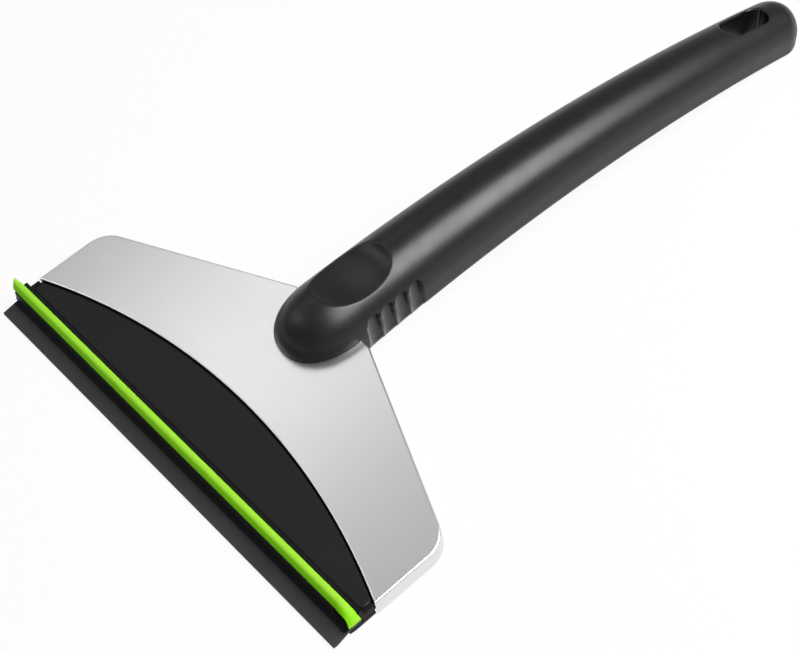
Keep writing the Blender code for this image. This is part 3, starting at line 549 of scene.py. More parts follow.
class Recipe(Tree):
    """Node tree of one material, with short calls for the nodes that the finishes share."""

    def __init__(self, name: str) -> None:
        """Start a material with a shader and an output.

        Args:
            name: Name of the material.
        """
        self.material = bpy.data.materials.new(name)
        self.material.use_nodes = True
        super().__init__(self.material.node_tree)
        self.shader = self.node("ShaderNodeBsdfPrincipled")
        self.node("ShaderNodeOutputMaterial", {"Surface": self.shader.outputs["BSDF"]})
        self.place = self.node("ShaderNodeTexCoord").outputs["Object"]

    def stretched(self, scale: Point, turn: float = 0.0) -> NodeSocket:
        """Place of the shaded point, scaled along each axis and turned about Z."""
        inputs = {"Vector": self.place, "Scale": scale, "Rotation": (0.0, 0.0, turn)}
        return self.node("ShaderNodeMapping", inputs).outputs["Vector"]

    def noise(self, size: float, detail: float = 2.0, place: NodeSocket | None = None,
              roughness: float = 0.5) -> NodeSocket:
        """Noise from 0 to 1 with patches of one size, read at the object's own place if none is given."""
        inputs = {"Vector": place or self.place, "Scale": 1 / size, "Detail": detail, "Roughness": roughness}
        return self.node("ShaderNodeTexNoise", inputs).outputs["Fac"]

    def between(self, value: NodeSocket, low: float, high: float, start: float = 0.3,
                end: float = 0.7) -> NodeSocket:
        """Map a value's range from start to end onto low to high."""
        inputs = {"Value": value, "From Min": start, "From Max": end, "To Min": low, "To Max": high}
        return self.node("ShaderNodeMapRange", inputs, clamp=True).outputs["Result"]

    def mix(self, share: NodeSocket, first: Colour | NodeSocket, second: Colour) -> NodeSocket:
        """Mix two colours, of which the first can be an output, by a share.

        Args:
            share: Share of the second colour.
            first: First colour, or an output that gives it.
            second: Second colour.

        Returns:
            The mixed colour.
        """
        item = self.node("ShaderNodeMix", {"Factor": share}, data_type='RGBA')
        low, high = (s for s in item.inputs if s.type == 'RGBA')
        self.feed(low, (*first, 1.0) if isinstance(first, tuple) else first)
        self.feed(high, (*second, 1.0))
        return next(s for s in item.outputs if s.type == 'RGBA')

    def painted_light_over(self, colour: NodeSocket, worn: Colour) -> NodeSocket:
        """Lay the colour of painted light over another one by the attribute that marks where light is painted."""
        return self.mix(self.node("ShaderNodeAttribute", attribute_name=PAINTED_LIGHT).outputs["Fac"], colour, worn)

    def bump(self, height: NodeSocket, depth: float) -> NodeSocket:
        """Normals of a surface with a height of the given depth, in metres."""
        return self.node("ShaderNodeBump", {"Height": height, "Strength": 1.0, "Distance": depth}).outputs["Normal"]

    def surface(self, **inputs: object) -> Material:
        """Set up the shader's own inputs, underscores standing for spaces, and give the material.

        Args:
            inputs: Outputs or constants, by the names of the inputs.

        Returns:
            The material.
        """
        for key, source in inputs.items():
            self.feed(self.shader.inputs[key.replace("_", " ")], source)
        return self.material


# Finishes

def scaled(colour: Colour, factor: float) -> Colour:
    """A colour made lighter or darker.

    Args:
        colour: The colour.
        factor: How many times lighter it becomes.

    Returns:
        The new colour, with no part above 1.
    """
    return tuple(min(c * factor, 1.0) for c in colour)


@dataclass(frozen=True)
class Finish:
    """What every finish has.

    Attributes:
        name: Name of the material.
        slot: The record's material slot. Not used.
        colour: Linear colour.
        roughness: Middle roughness.
    """

    name: str
    slot: str
    colour: Colour
    roughness: float

    def material(self) -> Material:
        """The finish as a Blender material."""
        raise NotImplementedError


@dataclass(frozen=True)
class MouldedPlastic(Finish):
    """Moulded plastic with a fine spark-eroded grain, soft wear and, where a piece marks it, a painted highlight.

    Attributes:
        specular: Level of the reflection that faces the viewer.
        grain: Size of the surface grain.
        depth: Depth of the grain.
        unevenness: Share by which the colour varies.
        cloud: Size of the patches in which it varies.
        scuffs: How far fine scratches lighten the colour.
        scuffed: Size of the patches that have scratches.
        scratch: Width of a scratch.
        scratch_axis: Scale along X, Y and Z that draws the scratches out.
        scratch_turn: Direction of the scratches about Z.
        worn: Colour of the painted highlight and painted light, where the attribute "worn" is 1, if the piece has
            one.
        scratch_values: Noise values between which a scratch fades in.
        scuffed_values: Noise values between which a scuffed patch fades in.
        lighter: How many times lighter a scratch is than the plain colour.
        gloss: Size of the patches in which the roughness varies.
        swing: How far the roughness varies to each side.
        scratch_rough: How much rougher a scratch is.
        scratch_depth: Depth of a scratch, as a share of the grain's.
    """

    specular: float = 0.3
    grain: float = 0.35 * MM
    depth: float = 0.01 * MM
    unevenness: float = 0.12
    cloud: float = 22 * MM
    scuffs: float = 0.5
    scuffed: float = 14 * MM
    scratch: float = 0.9 * MM
    scratch_axis: Point = (1.0, 0.08, 1.0)
    scratch_turn: float = 0.35
    worn: Colour | None = None
    scratch_values: Span = (0.66, 0.74)
    scuffed_values: Span = (0.48, 0.72)
    lighter: float = 2.1
    gloss: float = 6 * MM
    swing: float = 0.03
    scratch_rough: float = 0.08
    scratch_depth: float = 0.6

    def material(self) -> Material:
        """The finish as a Blender material.

        Returns:
            The material.
        """
        recipe = Recipe(self.name)
        tone = recipe.mix(recipe.between(recipe.noise(self.cloud, 3.0), 0.0, 1.0),
                          scaled(self.colour, 1 - self.unevenness), scaled(self.colour, 1 + self.unevenness))
        drawn_out = recipe.stretched(self.scratch_axis, self.scratch_turn)
        scratch = recipe.between(recipe.noise(self.scratch, 3.0, drawn_out, 0.62), 0.0, 1.0, *self.scratch_values)
        patch = recipe.between(recipe.noise(self.scuffed), 0.0, self.scuffs, *self.scuffed_values)
        wear = recipe.combined(scratch, patch, 'MULTIPLY')
        colour = recipe.mix(wear, tone, scaled(self.colour, self.lighter))
        # Painted highlight and painted light, laid on where the piece's worn attribute marks them
        if self.worn:
            colour = recipe.painted_light_over(colour, self.worn)
        rough = recipe.between(recipe.noise(self.gloss, 4.0), self.roughness - self.swing,
                               self.roughness + self.swing)
        rougher = recipe.combined(rough, recipe.between(wear, 0.0, self.scratch_rough, 0.0, 1.0))
        grain = recipe.noise(self.grain, 3.0, None, 0.6)
        height = recipe.combined(grain, recipe.between(scratch, 0.0, -self.scratch_depth, 0.0, 1.0))
        return recipe.surface(Base_Color=colour, Roughness=rougher, Normal=recipe.bump(height, self.depth),
                              Specular_IOR_Level=self.specular)


@dataclass(frozen=True)
class SatinSteel(Finish):
    """Steel with a fine directional satin grain and faint cloudiness.

    Attributes:
        grain_axis: Scale along X, Y and Z that draws the grain out.
        depth: Depth of the grain.
        fine: Size of the fine grain.
        coarse: Size of the coarse grain.
        cloud: Size of the patches in which the colour varies.
        swing: How far the roughness varies to each side.
        grain_values: Values of the grain between which the roughness varies.
        tones: How many times lighter the darkest and the lightest places are.
    """

    grain_axis: Point = (0.06, 1.0, 1.0)
    depth: float = 0.0012 * MM
    fine: float = 0.22 * MM
    coarse: float = 1.1 * MM
    cloud: float = 35 * MM
    swing: float = 0.015
    grain_values: Span = (0.15, 0.4)
    tones: Span = (0.985, 1.01)

    def material(self) -> Material:
        """The finish as a Blender material.

        Returns:
            The material.
        """
        recipe = Recipe(self.name)
        brushed = recipe.stretched(self.grain_axis)
        grain = recipe.noise(self.fine, 2.0, brushed, 0.7)
        coarse = recipe.noise(self.coarse, 2.0, brushed)
        share = recipe.combined(recipe.between(recipe.noise(self.cloud), 0.0, 0.6), recipe.between(coarse, 0.0, 0.4))
        rough = recipe.between(recipe.combined(grain, coarse, 'MULTIPLY'), self.roughness - self.swing,
                               self.roughness + self.swing, *self.grain_values)
        dark, light = (scaled(self.colour, tone) for tone in self.tones)
        return recipe.surface(Base_Color=recipe.mix(share, dark, light),
                              Roughness=rough, Normal=recipe.bump(grain, self.depth), Metallic=1.0)


@dataclass(frozen=True)
class Elastomer(Finish):
    """Smooth translucent extrusion with faint lines along its length.

    Attributes:
        depth_colour: Colour deep in the material.
        highlight_colour: Colour of the painted highlight, where the attribute "worn" is 1.
        cloud: Size of the patches in which the colour varies.
        line: Width of the lines along the length.
        relief: Depth of the lines.
        specular: Level of the reflection that faces the viewer.
        glow: Share of the light that enters the material.
        reach: How deep that light reaches.
    """

    depth_colour: Colour
    highlight_colour: Colour
    cloud: float = 9 * MM
    line: float = 0.35 * MM
    relief: float = 0.006 * MM
    specular: float = 0.06
    glow: float = 0.12
    reach: float = 0.0012

    def material(self) -> Material:
        """The finish as a Blender material.

        Returns:
            The material.
        """
        recipe = Recipe(self.name)
        cloud = recipe.noise(self.cloud, 3.0, recipe.stretched((0.2, 1.0, 1.0)))
        tone = recipe.mix(recipe.between(cloud, 0.0, 1.0), self.depth_colour, self.colour)
        line = recipe.noise(self.line, 2.0, recipe.stretched((0.01, 1.0, 1.0)))
        # Painted highlight on the bead's top and round its pull's end, by the worn attribute
        return recipe.surface(Base_Color=recipe.painted_light_over(tone, self.highlight_colour),
                              Roughness=recipe.between(cloud, self.roughness - 0.04, self.roughness + 0.05),
                              Normal=recipe.bump(line, self.relief), Specular_IOR_Level=self.specular,
                              Subsurface_Weight=self.glow, Subsurface_Scale=self.reach,
                              Subsurface_Radius=(0.5, 1.0, 0.2))


# The grip's worn colour is the painted highlight on the flute ridges and the painted light on their lit sides
GRIP_FINISH = MouldedPlastic("satin_black_plastic", "satin_black_plastic", (0.003, 0.003, 0.0032), 0.37,
                             specular=0.47, worn=(0.22, 0.22, 0.224))
HOLDER_FINISH = MouldedPlastic("holder_black_plastic", "holder_black_plastic", (0.007, 0.007, 0.0074), 0.5,
                               specular=0.13, scratch_axis=(0.08, 1.0, 1.0))
COVER_FINISH = MouldedPlastic("cover_black_plastic", "holder_black_plastic", (0.0068, 0.0068, 0.0072), 0.5,
                              specular=0.23, scratch_axis=(0.08, 1.0, 1.0))
BLADE_FINISH = MouldedPlastic("blade_grey_plastic", "blade_grey_plastic", (0.038, 0.038, 0.039), 0.55,
                              specular=0.25, scuffs=0.8, scratch_axis=(1.0, 0.1, 1.0))
PLATE_FINISH = SatinSteel("satin_stainless", "satin_stainless", (0.775, 0.775, 0.78), 0.32)
ZINC_FINISH = SatinSteel("zinc_plated_steel", "zinc_plated_steel", (0.55, 0.56, 0.58), 0.3,
                         grain_axis=(1.0, 1.0, 0.3))
# The bead's third colour is its painted highlight
BEAD_FINISH = Elastomer("lime_green_elastomer", "lime_green_elastomer", (0.25, 0.76, 0.002), 0.36,
                        (0.22, 0.70, 0.001), (0.32, 0.65, 0.045))


class Paint:
    """Materials made so far, one for each finish."""

    def __init__(self) -> None:
        """Start with none."""
        self.made: dict[str, Material] = {}

    def of(self, finish: Finish) -> Material:
        """The material of a finish, made at its first use.

        Args:
            finish: The finish.

        Returns:
            Its material.
        """
        if finish.name not in self.made:
            self.made[finish.name] = finish.material()
        return self.made[finish.name]

    def dress(self, piece: Object, finish: Finish, body: str, *nodes: str) -> None:
        """Give a finished piece its material, its body and the CAD nodes that it stands for.

        Args:
            piece: Object of the piece, at the origin.
            finish: Its finish.
            body: CAD body that it rides on.
            nodes: CAD nodes that it replaces.
        """
        piece.data.materials.clear()
        piece.data.materials.append(self.of(finish))
        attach(piece, body)
        if nodes:
            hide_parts(*nodes)
        LOG.info("%s: %d faces, on %s", piece.name, len(piece.data.polygons), body)


# Handle

@dataclass
class GripLines:
    """Lines that the whole handle follows, on the plate's axes.

    Attributes:
        nose_y: Tip of the nose.
        nose_length: Length over which the nose opens.
        nose_power: Roundness of the nose.
        end_y: End of the handle.
        end_round: Length over which the end closes.
        nose_half: Half width behind the nose.
        end_half: Half width before the end.
        crown_y: Place of the arch's crown.
        crown_z: Height of the arch's crown.
        arch_radius: Radius of the arch.
        rim_drop: Height of the centre line above the top shell's rim.
        lean: Lean of the sections at the end.
        lean_length: Length over which the lean begins.
    """

    nose_y: float = 38.2 * MM
    nose_length: float = 19.8 * MM
    nose_power: float = 2.3
    end_y: float = 280.5 * MM
    end_round: float = 10.9 * MM
    nose_half: float = 15.0 * MM
    end_half: float = 10.85 * MM
    crown_y: float = 73.8 * MM
    crown_z: float = -1.2 * MM
    arch_radius: float = 740.0 * MM
    rim_drop: float = 4.5 * MM
    lean: float = 0.2
    lean_length: float = 30.0 * MM

    @property
    def full_y(self) -> float:
        """Where the nose has fully opened."""
        return self.nose_y + self.nose_length

    @property
    def turn_y(self) -> float:
        """Where the end begins to close."""
        return self.end_y - self.end_round

    def half_width(self, y: Numbers) -> Numbers:
        """Half width at y, without the rounding of the nose and the end."""
        t = unit((y - self.full_y) / (self.turn_y - self.full_y))
        return self.nose_half + (self.end_half - self.nose_half) * t

    def arch(self, y: Numbers) -> Numbers:
        """Height of the centre line at y."""
        return self.crown_z - self.arch_radius + np.sqrt(self.arch_radius ** 2 - (y - self.crown_y) ** 2)

    def rim(self, y: Numbers) -> Numbers:
        """Height of the top shell's rim at y."""
        return self.arch(y) - self.rim_drop

    def nose_share(self, y: Numbers) -> Numbers:
        """How far the section has opened at y."""
        run = unit((self.full_y - y) / self.nose_length)
        return (1 - run ** self.nose_power) ** (1 / self.nose_power)

    def end_share(self, y: Numbers, power: float = 2.0) -> Numbers:
        """How far the section is still open at y."""
        run = unit((y - self.turn_y) / self.end_round)
        return (1 - run ** power) ** (1 / power)

    def end_stations(self, first: float, last: float, count: int) -> np.ndarray:
        """Stations round the end's closing, between two angles in degrees."""
        return self.turn_y + self.end_round * np.sin(np.radians(np.linspace(first, last, count)))

    def lean_back(self, y: Numbers, z: Numbers) -> tuple[Numbers, Numbers]:
        """Y and Z of points of the section at y, which leans towards the end.

        Args:
            y: Places of the sections.
            z: Heights of their points.

        Returns:
            The leaned points' places and heights.
        """
        t = unit((y - self.turn_y + self.lean_length) / self.lean_length)
        lean = self.lean * t * t * (3 - 2 * t)
        slope = (y - self.crown_y) / self.arch_radius
        rise = (z - self.arch(y)) / (1 + lean * slope)
        return y + rise * lean, self.arch(y) + rise


LINES = GripLines()


@dataclass
class HangingSlot:
    """Through slot near the handle's end, square to the table.

    Attributes:
        centre: Plan place of its centre on the table's axes.
        length: Whole length.
        width: Whole width.
        lip: Radius of the rounded lip.
        reach: Heights between which the cutter runs.
    """

    centre: Span = (0.0, 271.77 * MM)
    length: float = 22.4 * MM
    width: float = 9.6 * MM
    lip: float = 0.8 * MM
    reach: Span = (-20 * MM, 60 * MM)

    @property
    def run(self) -> float:
        """Half the distance between the centres of its two round ends."""
        return (self.length - self.width) / 2

    def outline(self) -> Outline:
        """Plan outline on the table's axes.

        Returns:
            The outline.
        """
        x, y = self.centre
        far = arc_points(x, y + self.run, self.width / 2, 0.0, math.pi, steps=24)
        return far + arc_points(x, y - self.run, self.width / 2, math.pi, 2 * math.pi, steps=24)

    def distance(self, points: np.ndarray) -> np.ndarray:
        """Plan distance of points on the table's axes from the slot's edge, less than 0 inside."""
        along = np.maximum(np.abs(points[..., 1] - self.centre[1]) - self.run, 0.0)
        return np.hypot(points[..., 0] - self.centre[0], along) - self.width / 2

    def roll_off(self, points: np.ndarray) -> np.ndarray:
        """Lower the points round the slot so that its lip is rounded.

        Args:
            points: Points on the table's axes, which are changed.

        Returns:
            The same points.
        """
        near = np.clip(self.lip - self.distance(points), 0.0, self.lip)
        points[..., 2] -= self.lip - np.sqrt(self.lip ** 2 - near ** 2)
        return points

    def tool(self) -> Mesh:
        """Cutter through the whole handle."""
        return prism_mesh("slot_tool", self.outline(), *self.reach)


SLOT = HangingSlot()


@dataclass
class FingerFlutes:
    """Bullet-shaped finger flutes in both sides of the grip, with a sharp ridge before each.

    Attributes:
        count: Number of flutes.
        first: Ridge of the first flute.
        pitch: Distance between ridges.
        end_y: Place behind which the grip's sides are plain.
        depth: Greatest depth.
        section: Shares of the pitch, from ridge to ridge, and the depth there.
        top: Height of the tops.
        shoulder: Height at which the tops begin to close.
        roundness: Power of the curve by which they close.
        lean: How far the ridges lean towards the grip's end, as a share of their height.
        lean_lengths: Lengths over which the lean begins and ends.
        ledge: Height over which a flute reaches its depth below its top.
        foot: How far below the top shell's rim a flute begins.
        run_out: Power of the curve by which it begins.
        light_fade: Distance behind a ridge over which the painted light fades.
        light_behind: How much painted light the flute gets where it begins to fade.
        line: Half width of the painted highlight line on a ridge.
        line_top: Share of the way from the shoulder to the top at which the line ends.
        light_start: Share of the pitch behind a ridge at which the painted light begins to fade.
        full_light_depth: Depth of a flute from which on its painted light is full.
        clear: Distances from the flutes' stations to the plain ones before and behind them.
    """

    count: int = 4
    first: float = 62.05 * MM
    pitch: float = 6.1 * MM
    end_y: float = 92 * MM
    depth: float = 1.9 * MM
    section: tuple[Span, ...] = ((0.0, 0.0), (0.1, 0.6), (0.3, 0.78), (0.6, 0.95), (0.8333, 1.0), (1.0, 0.0))
    top: float = 4.7 * MM
    shoulder: float = -1.2 * MM
    roundness: float = 3.5
    lean: float = 0.075
    lean_lengths: Span = (3 * MM, 4 * MM)
    ledge: float = 0.5 * MM
    foot: float = 0.15 * MM
    run_out: float = 0.6
    light_fade: float = 1.5 * MM
    light_behind: float = 0.4
    line: float = 0.36 * MM
    line_top: float = 0.7
    light_start: float = 0.12
    full_light_depth: float = 0.3 * MM
    clear: Span = (0.1 * MM, 0.3 * MM)

    @property
    def last(self) -> float:
        """Ridge after the last flute."""
        return self.first + self.count * self.pitch

    def stations(self, steps: int = 30) -> np.ndarray:
        """Stations along the flutes, with one on each ridge."""
        return self.first + self.pitch * np.arange(self.count * steps + 1) / steps

    def leaned(self, y: Numbers, z: Numbers) -> Numbers:
        """How far the points at y and z lean towards the grip's end.

        Args:
            y: Places along the grip.
            z: Heights on the plate's axes.

        Returns:
            The distances.
        """
        begin, end = self.lean_lengths
        near = unit((y - LINES.full_y) / begin) * unit((self.end_y - y) / end)
        return self.lean * near * np.clip(z - LINES.rim(y), 0.0, 2 * self.top)

    def share(self, y: Numbers) -> Numbers:
        """Share of the way from the ridge before y to the next one."""
        run = (y - self.first) / self.pitch
        return run - np.floor(run)

    def cut(self, y: Numbers, z: Numbers) -> Numbers:
        """Depth of the flutes at y and z, 0 outside them.

        Args:
            y: Places along the grip.
            z: Heights on the plate's axes.

        Returns:
            The depth, which runs out at the top shell's rim.
        """
        share = self.share(y)
        shares, depths = zip(*self.section)
        low = LINES.rim(y) - self.foot
        run_out = unit((z - low) / (LINES.arch(y) + 1 * MM - low)) ** self.run_out
        bullet = (1 - np.abs(2 * share - 1) ** self.roundness) ** (1 / self.roundness)
        top = self.shoulder + (self.top - self.shoulder) * bullet
        below = unit((top - z) / self.ledge)
        depth = self.depth * np.interp(share, shares, depths) * run_out * below
        return np.where((y > self.first) & (y < self.last), depth, 0.0)

    def mark_painted_light(self, mesh: Mesh) -> None:
        """Write how much painted light each point of a shell gets: a painted highlight on the ridges, and painted
        light fading behind them.

        Args:
            mesh: Mesh of the shell, on the table's axes.
        """
        points = vectors_of(mesh.vertices, "co") - np.array(TO_TABLE.translation)
        x, y, z = (points @ np.array(TO_TABLE.to_3x3())).T
        y = y - self.leaned(y, z)
        behind = self.share(y) * self.pitch
        nearest = self.first + self.pitch * np.clip(np.round((y - self.first) / self.pitch), 0, self.count - 1)
        corner = self.shoulder + (self.top - self.shoulder) * self.line_top
        # Painted highlight along each ridge line, and painted light on the lit side of the flute behind it, fading
        # with distance
        ridge = np.exp(-((y - nearest) / self.line) ** 2) * unit((corner - z) / MM)
        faded = self.light_behind * np.exp(-np.maximum(behind - self.light_start * self.pitch, 0.0) / self.light_fade)
        faded *= unit(self.cut(y, np.maximum(z, LINES.rim(y) + MM)) / self.full_light_depth)
        outer = np.abs(x) > LINES.half_width(y) - self.depth - 2 * MM
        write_painted_light(mesh, np.where(outer, np.maximum(ridge, faded), 0.0))


FLUTES = FingerFlutes()


@dataclass
class TopShell:
    """Arched upper shell of the grip: thumb recess, finger flutes, hollow, bosses and slot."""

    thumb_centre: Span = (68.1 * MM, 18.2 * MM)
    thumb_half: Point = (26.0 * MM, 17.7 * MM, 9.0 * MM)
    thumb_tilt: float = math.radians(6.3)
    thumb_edge: float = 0.5 * MM
    wall: float = 2.4 * MM
    wall_steps: int = 16
    dome_steps: int = 140
    step: float = 0.36 * MM
    plain: Span = (92.2 * MM, 238 * MM)
    slot_start: float = 238.4 * MM
    hollow_ends: Span = (46 * MM, 238 * MM)
    low_roof: float = 6.5 * MM
    ramp_length: float = 14 * MM
    boss: float = 3.6 * MM
    pilot: float = 1.6 * MM
    tang_boss_top: float = 12 * MM
    tang_bore: Span = (-1 * MM, 5.5 * MM)
    boss_top: float = 30 * MM
    seat_rise: float = 1.6 * MM
    bore_depth: float = 7.9 * MM
    end_power: float = 2.8
    nose_angles: Span = (89.2, 2.0)
    nose_steps: int = 44
    plain_steps: int = 60
    slot_step: float = 0.32 * MM
    end_angles: Span = (0.0, 89.2)
    end_steps: int = 34
    hollow_steps: int = 40
    roof_steps: int = 17

    def stations(self) -> np.ndarray:
        """Stations along the handle, close together where its shape changes.

        Returns:
            The stations, in order.
        """
        angles = np.radians(np.linspace(*self.nose_angles, self.nose_steps))
        nose = LINES.full_y - LINES.nose_length * np.sin(angles)
        flutes = FLUTES.stations()
        before = np.arange(LINES.full_y, flutes[0] - FLUTES.clear[0], self.step)
        behind = np.arange(flutes[-1] + FLUTES.clear[1], FLUTES.end_y, self.step)
        slot = np.arange(self.slot_start, LINES.turn_y, self.slot_step)
        return np.concatenate([nose, before, flutes, behind, np.linspace(*self.plain, self.plain_steps), slot,
                               LINES.end_stations(*self.end_angles, self.end_steps)])

    def outside(self) -> np.ndarray:
        """Points of the outer surface, one row for each station, on the table's axes.

        Returns:
            The points.
        """
        y = self.stations()[:, None]
        half, arch, rim = LINES.half_width(y), LINES.arch(y), LINES.rim(y)
        turns = np.linspace(0.0, math.pi, self.dome_steps + 1)[None, :]
        dome_x, dome_z = half * np.cos(turns), arch + half * np.sin(turns)
        share = np.linspace(0.0, 1.0, self.wall_steps, endpoint=False)[None, :]
        wall_z = rim + (arch - rim) * share
        wall_x = half * np.ones_like(share)
        x = np.concatenate([wall_x, dome_x, -wall_x[:, ::-1]], axis=1)
        z = np.concatenate([wall_z, dome_z, wall_z[:, ::-1]], axis=1)
        nose = LINES.nose_share(y)
        plan, lift = LINES.end_share(y), LINES.end_share(y, self.end_power)
        x, z = x * nose, z * nose
        x, z = x * plan, np.where(plan < 1, rim + (z - rim) * lift, z)
        stretched_y, z = LINES.lean_back(y * np.ones_like(x), z)
        x = self.fluted(x, stretched_y, z)
        stretched_y = stretched_y + FLUTES.leaned(stretched_y, z)
        z = self.scooped(x, stretched_y, z)
        return SLOT.roll_off(to_table(np.stack([x, stretched_y, z], axis=-1)))

    def scooped(self, x: np.ndarray, y: np.ndarray, z: np.ndarray) -> np.ndarray:
        """Heights with the thumb recess, the lower side of a tilted ellipsoid.

        Args:
            x: Places across the grip.
            y: Places along it.
            z: Heights there.

        Returns:
            The lowered heights.
        """
        c, s = math.cos(self.thumb_tilt), math.sin(self.thumb_tilt)
        a, b, h = self.thumb_half
        run = y - self.thumb_centre[0]
        square = s * s / b ** 2 + c * c / h ** 2
        linear = 2 * c * s * run * (1 / h ** 2 - 1 / b ** 2)
        rest = run ** 2 * (c * c / b ** 2 + s * s / h ** 2) + (x / a) ** 2 - 1
        inside = linear ** 2 - 4 * square * rest
        low = self.thumb_centre[1] + (-linear - np.sqrt(np.maximum(inside, 0.0))) / (2 * square)
        low = np.where(inside > 0, low, 1.0)
        return smooth_min(z, low, self.thumb_edge)

    def fluted(self, x: np.ndarray, y: np.ndarray, z: np.ndarray) -> np.ndarray:
        """Widths with the finger flutes."""
        return np.copysign(np.maximum(np.abs(x) - FLUTES.cut(y, z), 0.0), x)

    def ramp(self, y: float) -> float:
        """Share by which the hollow has opened at y, behind the thumb recess."""
        past = (y - self.thumb_centre[0] - self.thumb_half[1]) / self.ramp_length
        return min(max(past, 0.0), 1.0)

    def hollow_half(self, y: float) -> float:
        """Half width of the hollow, narrower beside the flutes."""
        extra = FLUTES.depth * (1 - self.ramp(y))
        return LINES.half_width(y) * LINES.nose_share(y) - self.wall - extra

    def hollow_rings(self) -> list[list[Point]]:
        """Sections of the hollow, open at the shell's underside.

        Returns:
            The sections' points, on the plate's axes.
        """
        rings = []
        for y in np.linspace(*self.hollow_ends, self.hollow_steps):
            half, arch = self.hollow_half(y), LINES.arch(y)
            high = arch + LINES.half_width(y) - self.wall
            roof = self.low_roof + (high - self.low_roof) * self.ramp(y)
            spring = min(arch, roof - self.wall)
            low = LINES.rim(y) - PAST
            arc = [(half * math.cos(a), y, spring + (roof - spring) * math.sin(a))
                   for a in np.linspace(0.0, math.pi, self.roof_steps)]
            rings.append([(half, y, low), *arc, (-half, y, low)])
        return rings

    def hollow(self) -> Mesh:
        """Cutter of the hollow with the bosses and their pilot bores left out of it.

        Returns:
            The cutter, on the table's axes.
        """
        host = add_piece("hollow_tool", body_mesh("hollow_tool", self.hollow_rings()))
        bosses, bores = bmesh.new(), bmesh.new()
        for y in TANG_SCREW_YS:
            add_prism(bosses, circle(0.0, y, self.boss), GAP, self.tang_boss_top)
            add_prism(bores, circle(0.0, y, self.pilot), *self.tang_bore)
        for y in HANDLE_SCREW_YS:
            seat = LINES.rim(y) + self.seat_rise
            add_prism(bosses, circle(0.0, y, self.boss), seat + GAP, self.boss_top)
            add_prism(bores, circle(0.0, y, self.pilot), seat - PAST, seat + self.bore_depth)
        work(host, Operation.CUT, [mesh_of("bosses", bosses)])
        room = box_mesh("plate_room", (-40 * MM, 40 * MM), (30 * MM, NECK_Y), (-20 * MM, GAP))
        work(host, Operation.JOIN, [mesh_of("bores", bores), room])
        mesh = host.data
        bpy.data.objects.remove(host)
        return tilted(mesh)

    def build(self, paint: Paint) -> None:
        """Build the shell and dress it.

        Args:
            paint: Materials made so far.
        """
        shell = add_piece("grip_top_shell", body_mesh("grip_top_shell", self.outside()))
        work(shell, Operation.CUT, [self.hollow(), SLOT.tool()])
        shade(shell.data, angle=38)
        # Painted highlight on the flute ridges and painted light behind them
        FLUTES.mark_painted_light(shell.data)
        paint.dress(shell, GRIP_FINISH, SCRAPER, "handle_top_shell")


@dataclass
class BottomShell:
    """Underside of the grip: a belly with round edges, screw wells and a heel flat."""

    belly: float = 3.0 * MM
    edge: float = 2.6 * MM
    inset: float = 0.2 * MM
    lip: float = 0.06 * MM
    well_radius: float = 3.05 * MM
    seat_drop: float = 0.1 * MM
    most_edge: float = 0.9
    least_land: float = 0.8
    edge_steps: int = 11
    flute_steps: int = 20
    plain_steps: int = 80
    end_angles: Span = (2.0, 88.0)
    end_steps: int = 26

    def ring(self, y: float) -> np.ndarray:
        """Section at y, on the plate's axes.

        Args:
            y: Place of the section.

        Returns:
            Its points.
        """
        rim = LINES.rim(y)
        half = (LINES.half_width(y) - self.inset) * LINES.end_share(y) - float(FLUTES.cut(y, rim))
        top, low = rim - GAP, rim - self.belly
        turn = min(self.edge, half * self.most_edge)
        right = [(max(half - self.lip, half * self.least_land), top), (half, top - self.lip)]
        right += [(half - turn + turn * math.cos(a), low + self.edge * (1 - math.sin(a)))
                  for a in np.linspace(0.0, math.pi / 2, self.edge_steps)]
        ring = np.array(right + mirror_x(right))
        ys, zs = LINES.lean_back(y * np.ones(len(ring)), ring[:, 1])
        return np.stack([ring[:, 0], ys, zs], axis=-1)

    def outside(self) -> np.ndarray:
        """Points of the outer surface, one row for each station, on the table's axes.

        Returns:
            The points.
        """
        flutes = FLUTES.stations(self.flute_steps)
        stations = np.concatenate([np.linspace(NECK_Y, flutes[0] - FLUTES.clear[0], 4), flutes,
                                   np.linspace(flutes[-1] + FLUTES.clear[1], LINES.turn_y, self.plain_steps),
                                   LINES.end_stations(*self.end_angles, self.end_steps)])
        return to_table(np.array([self.ring(y) for y in stations]))

    def wells(self) -> Mesh:
        """Counterbored wells of the handle screws.

        Returns:
            The cutter, on the table's axes.
        """
        bm = bmesh.new()
        for y in HANDLE_SCREW_YS:
            rim = LINES.rim(y)
            seat = rim - self.seat_drop
            rings = [(rim - self.belly - PAST, self.well_radius), (seat, self.well_radius),
                     (seat, SCREW_HOLE), (rim + 4 * PAST, SCREW_HOLE)]
            add_body(bm, [level(circle(0.0, y, size), z) for z, size in rings])
        return tilted(mesh_of("wells", bm))

    def build(self, paint: Paint) -> None:
        """Build the shell and dress it; all below the table is cut off, which leaves the heel flat.

        Args:
            paint: Materials made so far.
        """
        shell = add_piece("grip_bottom_shell", body_mesh("grip_bottom_shell", self.outside()))
        table = box_mesh("table_tool", (-30 * MM, 30 * MM), (200 * MM, 340 * MM), (-10 * MM, 0.0))
        work(shell, Operation.CUT, [self.wells(), SLOT.tool(), table])
        shade(shell.data, angle=35)
        # Painted highlight on the flute ridges and painted light behind them
        FLUTES.mark_painted_light(shell.data)
        paint.dress(shell, GRIP_FINISH, SCRAPER, "handle_bottom_shell")


# Steel plate

